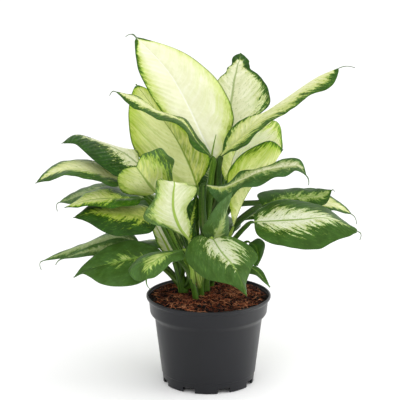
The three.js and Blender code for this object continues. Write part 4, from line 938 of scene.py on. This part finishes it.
def add_pot(material):
    """The pot with rounded edges, its foot notches and its drain holes."""
    piece = lathe("pot_shell", rounded(list(POT_SECTION.values())), POT_SEGMENTS)
    cutters = []
    across, deep = NOTCH_WIDTH / 2, NOTCH_DEPTH / 2
    notch = [(x, y - NOTCH_CIRCLE) for x, y in ((-across, -deep), (across, -deep), (across, deep), (-across, deep))]
    for k in range(FEET):
        vertices, faces = prism(notch, -NOTCH_HEIGHT, NOTCH_HEIGHT)
        cutters.append((spun(vertices, math.radians(FIRST_NOTCH_DEG + 360 / FEET * k)), faces))
    for x, y in ring(DRAIN_CIRCLE, DRAIN_HOLES):
        hole = [(y + dx, dy - x) for dx, dy in ring(DRAIN_RADIUS, DRAIN_SIDES)]
        cutters.append(prism(hole, *DRAIN_SPAN))
    cutter = new_object("pot_cutter", *joined(cutters))
    cut = piece.modifiers.new("cut", "BOOLEAN")
    cut.operation = "DIFFERENCE"
    cut.solver = "EXACT"
    cut.object = cutter
    graph = bpy.context.evaluated_depsgraph_get()
    finished = bpy.data.meshes.new_from_object(piece.evaluated_get(graph))
    piece.modifiers.clear()
    piece.data = finished
    bpy.data.objects.remove(cutter)
    finished.materials.clear()
    finished.materials.append(material)
    finished.shade_smooth()
    finished.set_sharp_from_angle(angle=math.radians(SHARP_EDGE_DEG))
    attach(piece, "root")
    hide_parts("pot")


def coir_material(name, stops, rough):
    """Shredded coir: tone by piece, with fibres, and near-black patches that are painted shade, as in the gaps
    between shreds.
    """
    skin = Skin(name)
    tone, _, _ = skin.layer("coir_at")
    where = skin.place()
    patch = skin.noise(where, 3.0, 0.6, 60.0)
    fine = skin.noise(where, 3.0, 0.7, 700.0)
    # Noise mixes the coir's own browns with near-black patches of painted shade
    colour = skin.ramp(tone + (patch - 0.5) * 1.1 + (fine - 0.5) * 0.9, numbers(stops))
    skin.coat(colour, rough, COIR_SHINE)
    skin.bump(fine, 0.6, 0.5)
    return skin.material


def coir_height(x, y):
    """The height of the coir bed, with clumps on a low mound."""
    share = min(math.hypot(x, y) / SOIL_EDGE_RADIUS, 1.0)
    clumps, lumps, crumbs = (noise.noise(Vector((x * f, y * f, z))) * rise for f, z, rise in COIR_BUMPS)
    return SOIL_EDGE_Z + SOIL_RISE * (1 - share**2) + (clumps + lumps + crumbs) * (1 - share**8)


def add_coir_bed(material):
    """The coir in the pot: a rough top, and a plain wall and floor that show only through the drain holes."""
    vertices = [(0, 0, coir_height(0, 0))]
    for k in range(1, SOIL_RINGS + 1):
        circle = ring(SOIL_EDGE_RADIUS * k / SOIL_RINGS, SOIL_SECTORS)
        vertices += [(x, y, coir_height(x, y)) for x, y in circle]
    for radius, height in numbers(SOIL_WALL):
        vertices += [(x, y, height) for x, y in ring(radius, SOIL_SECTORS)]
    end = len(vertices) - SOIL_SECTORS
    faces = []
    for k in range(SOIL_SECTORS):
        after = (k + 1) % SOIL_SECTORS
        faces.append((0, 1 + k, 1 + after))
        for a in range(1, end, SOIL_SECTORS):
            faces.append((a + k, a + SOIL_SECTORS + k, a + SOIL_SECTORS + after, a + after))
    faces.append([end + k for k in range(SOIL_SECTORS - 1, -1, -1)])
    layers = {"coir_at": stacked(len(vertices), BED_TONE, 0, 0)}
    add_piece("coir_bed", vertices, faces, [material], layers, ["soil"])


def icosahedron():
    """The twelve corners of a regular solid with twenty faces."""
    golden = (1 + 5**0.5) / 2
    corners = [(0, a, b) for a in (-1, 1) for b in (-golden, golden)]
    points = np.array(corners + [(b, 0, a) for _, a, b in corners] + [(a, b, 0) for _, a, b in corners])
    return points / np.linalg.norm(points[0])


def place_on_bed(draw, margin):
    """A random place on the coir, at least so far from its edge."""
    radius = (SOIL_EDGE_RADIUS - margin) * math.sqrt(draw.random())
    angle = draw.uniform(0, 2 * math.pi)
    return radius * math.cos(angle), radius * math.sin(angle)


def add_coir_crumbs(material, draw):
    """Loose lumps of coir on the bed."""
    points = icosahedron()
    faces = numbers(CRUMB_FACES)
    parts = []
    for _ in range(CRUMBS):
        x, y = place_on_bed(draw, CRUMB_MARGIN)
        size = draw.uniform(*CRUMB_SIZE) ** 1.2
        stretch = np.array([draw.uniform(*limits) for limits in CRUMB_STRETCH]) * size
        turn = draw.uniform(0, math.pi)
        rough = np.array([draw.uniform(*CRUMB_ROUGHNESS) for _ in points])[:, None]
        lump = spun(points * rough * stretch, turn) + (x, y, coir_height(x, y) + size * CRUMB_LIFT)
        parts.append((lump, faces, [(draw.uniform(*CRUMB_TONE), 0, 0)] * len(points)))
    vertices, faces, tones = joined(parts)
    add_piece("coir_crumbs", vertices, faces, [material], {"coir_at": tones})


def add_coir_fibres(material, draw):
    """Curled coir fibres that lie on the bed."""
    parts = []
    for _ in range(FIBRES):
        x, y = place_on_bed(draw, FIBRE_MARGIN)
        heading = draw.uniform(0, 2 * math.pi)
        turn = draw.uniform(-FIBRE_CURL, FIBRE_CURL)
        steps = draw.randint(*FIBRE_STEPS)
        stride = draw.uniform(*FIBRE_STRIDE)
        hump = draw.uniform(*FIBRE_HUMP)
        points = []
        for step in range(steps + 1):
            rise = hump * math.sin(math.pi * step / steps)
            points.append((x, y, coir_height(x, y) + FIBRE_LIFT + rise))
            heading += turn + draw.uniform(-FIBRE_KINK, FIBRE_KINK)
            x += stride * math.cos(heading)
            y += stride * math.sin(heading)
        if max(math.hypot(px, py) for px, py, _ in points) > SOIL_EDGE_RADIUS - 1:
            continue
        thick = draw.uniform(*FIBRE_THICKNESS)
        radii = thick * (1 - FIBRE_TAPER * np.linspace(0, 1, len(points)) ** 2)
        strand, strand_faces, *_ = tube(np.array(points), radii, np.array([0, 0, 1.0]), FIBRE_SIDES, 0.0, 0)
        parts.append((strand, strand_faces, [(draw.uniform(*FIBRE_TONE), 0, 0)] * len(strand)))
    vertices, faces, tones = joined(parts)
    add_piece("coir_fibres", vertices, faces, [material], {"coir_at": tones})


def set_stage():
    """A plain pale floor, soft studio light and the camera at the photograph's angle."""
    corners = [(x * FLOOR_SIZE, y * FLOOR_SIZE, -FLOOR_DROP) for x, y in ((-1, -1), (1, -1), (1, 1), (-1, 1))]
    floor = new_object("floor", corners, [(0, 1, 2, 3)])
    skin = Skin("floor_pale")
    skin.coat((FLOOR_SHADE, FLOOR_SHADE, FLOOR_SHADE, 1.0), FLOOR_ROUGHNESS, 0.0)
    floor.data.materials.append(skin.material)
    world = bpy.data.worlds.new("studio")
    world.use_nodes = True
    world.node_tree.nodes["Background"].inputs["Color"].default_value = (1.0, 1.0, 1.0, 1.0)
    world.node_tree.nodes["Background"].inputs["Strength"].default_value = WORLD_LIGHT
    scene = bpy.context.scene
    scene.world = world
    scene.view_settings.view_transform = "Standard"
    scene.view_settings.look = "None"
    scene.view_settings.exposure = 0.0
    for name, (place, target, size, power) in LAMPS.items():
        light = bpy.data.lights.new(name, "AREA")
        light.shape = "SQUARE"
        light.size = size
        light.energy = power
        lamp = bpy.data.objects.new(name, light)
        lamp.location = place
        lamp.rotation_euler = (Vector(target) - Vector(place)).to_track_quat("-Z", "Y").to_euler()
        scene.collection.objects.link(lamp)
    camera = bpy.data.cameras.new("camera")
    camera.lens = CAMERA_LENS
    camera.sensor_width = SENSOR_WIDTH
    eye = bpy.data.objects.new("camera", camera)
    tilt = math.radians(CAMERA_TILT_DEG)
    x, y, z = CAMERA_TARGET
    eye.location = Vector((x, y - CAMERA_DISTANCE * math.cos(tilt), z + CAMERA_DISTANCE * math.sin(tilt))) * MM
    eye.rotation_euler = (math.radians(90) - tilt, 0, 0)
    camera.clip_start = 0.05
    scene.collection.objects.link(eye)
    scene.camera = eye


noise.seed_set(NOISE_SEED)
set_stage()
for order, row in enumerate(LEAVES):
    skins = [leaf_material(look, is_under) for look, is_under in zip(row["looks"], (False, True))]
    add_blade(row, skins, SEED_STEP * order + SEED_START)
stalk_skin = stem_material()
for shoot_name, (cane_axis, cane_radii) in SHOOTS.items():
    add_shoot(shoot_name, numbers(cane_axis), cane_radii, stalk_skin)
add_pot(pot_material())
bed_skin = coir_material("coir_shreds", BED_STOPS, BED_ROUGHNESS)
fibre_skin = coir_material("coir_strands", FIBRE_STOPS, FIBRE_ROUGHNESS)
random_draw = random.Random(DRAW_SEED)
add_coir_bed(bed_skin)
add_coir_crumbs(bed_skin, random_draw)
add_coir_fibres(fibre_skin, random_draw)
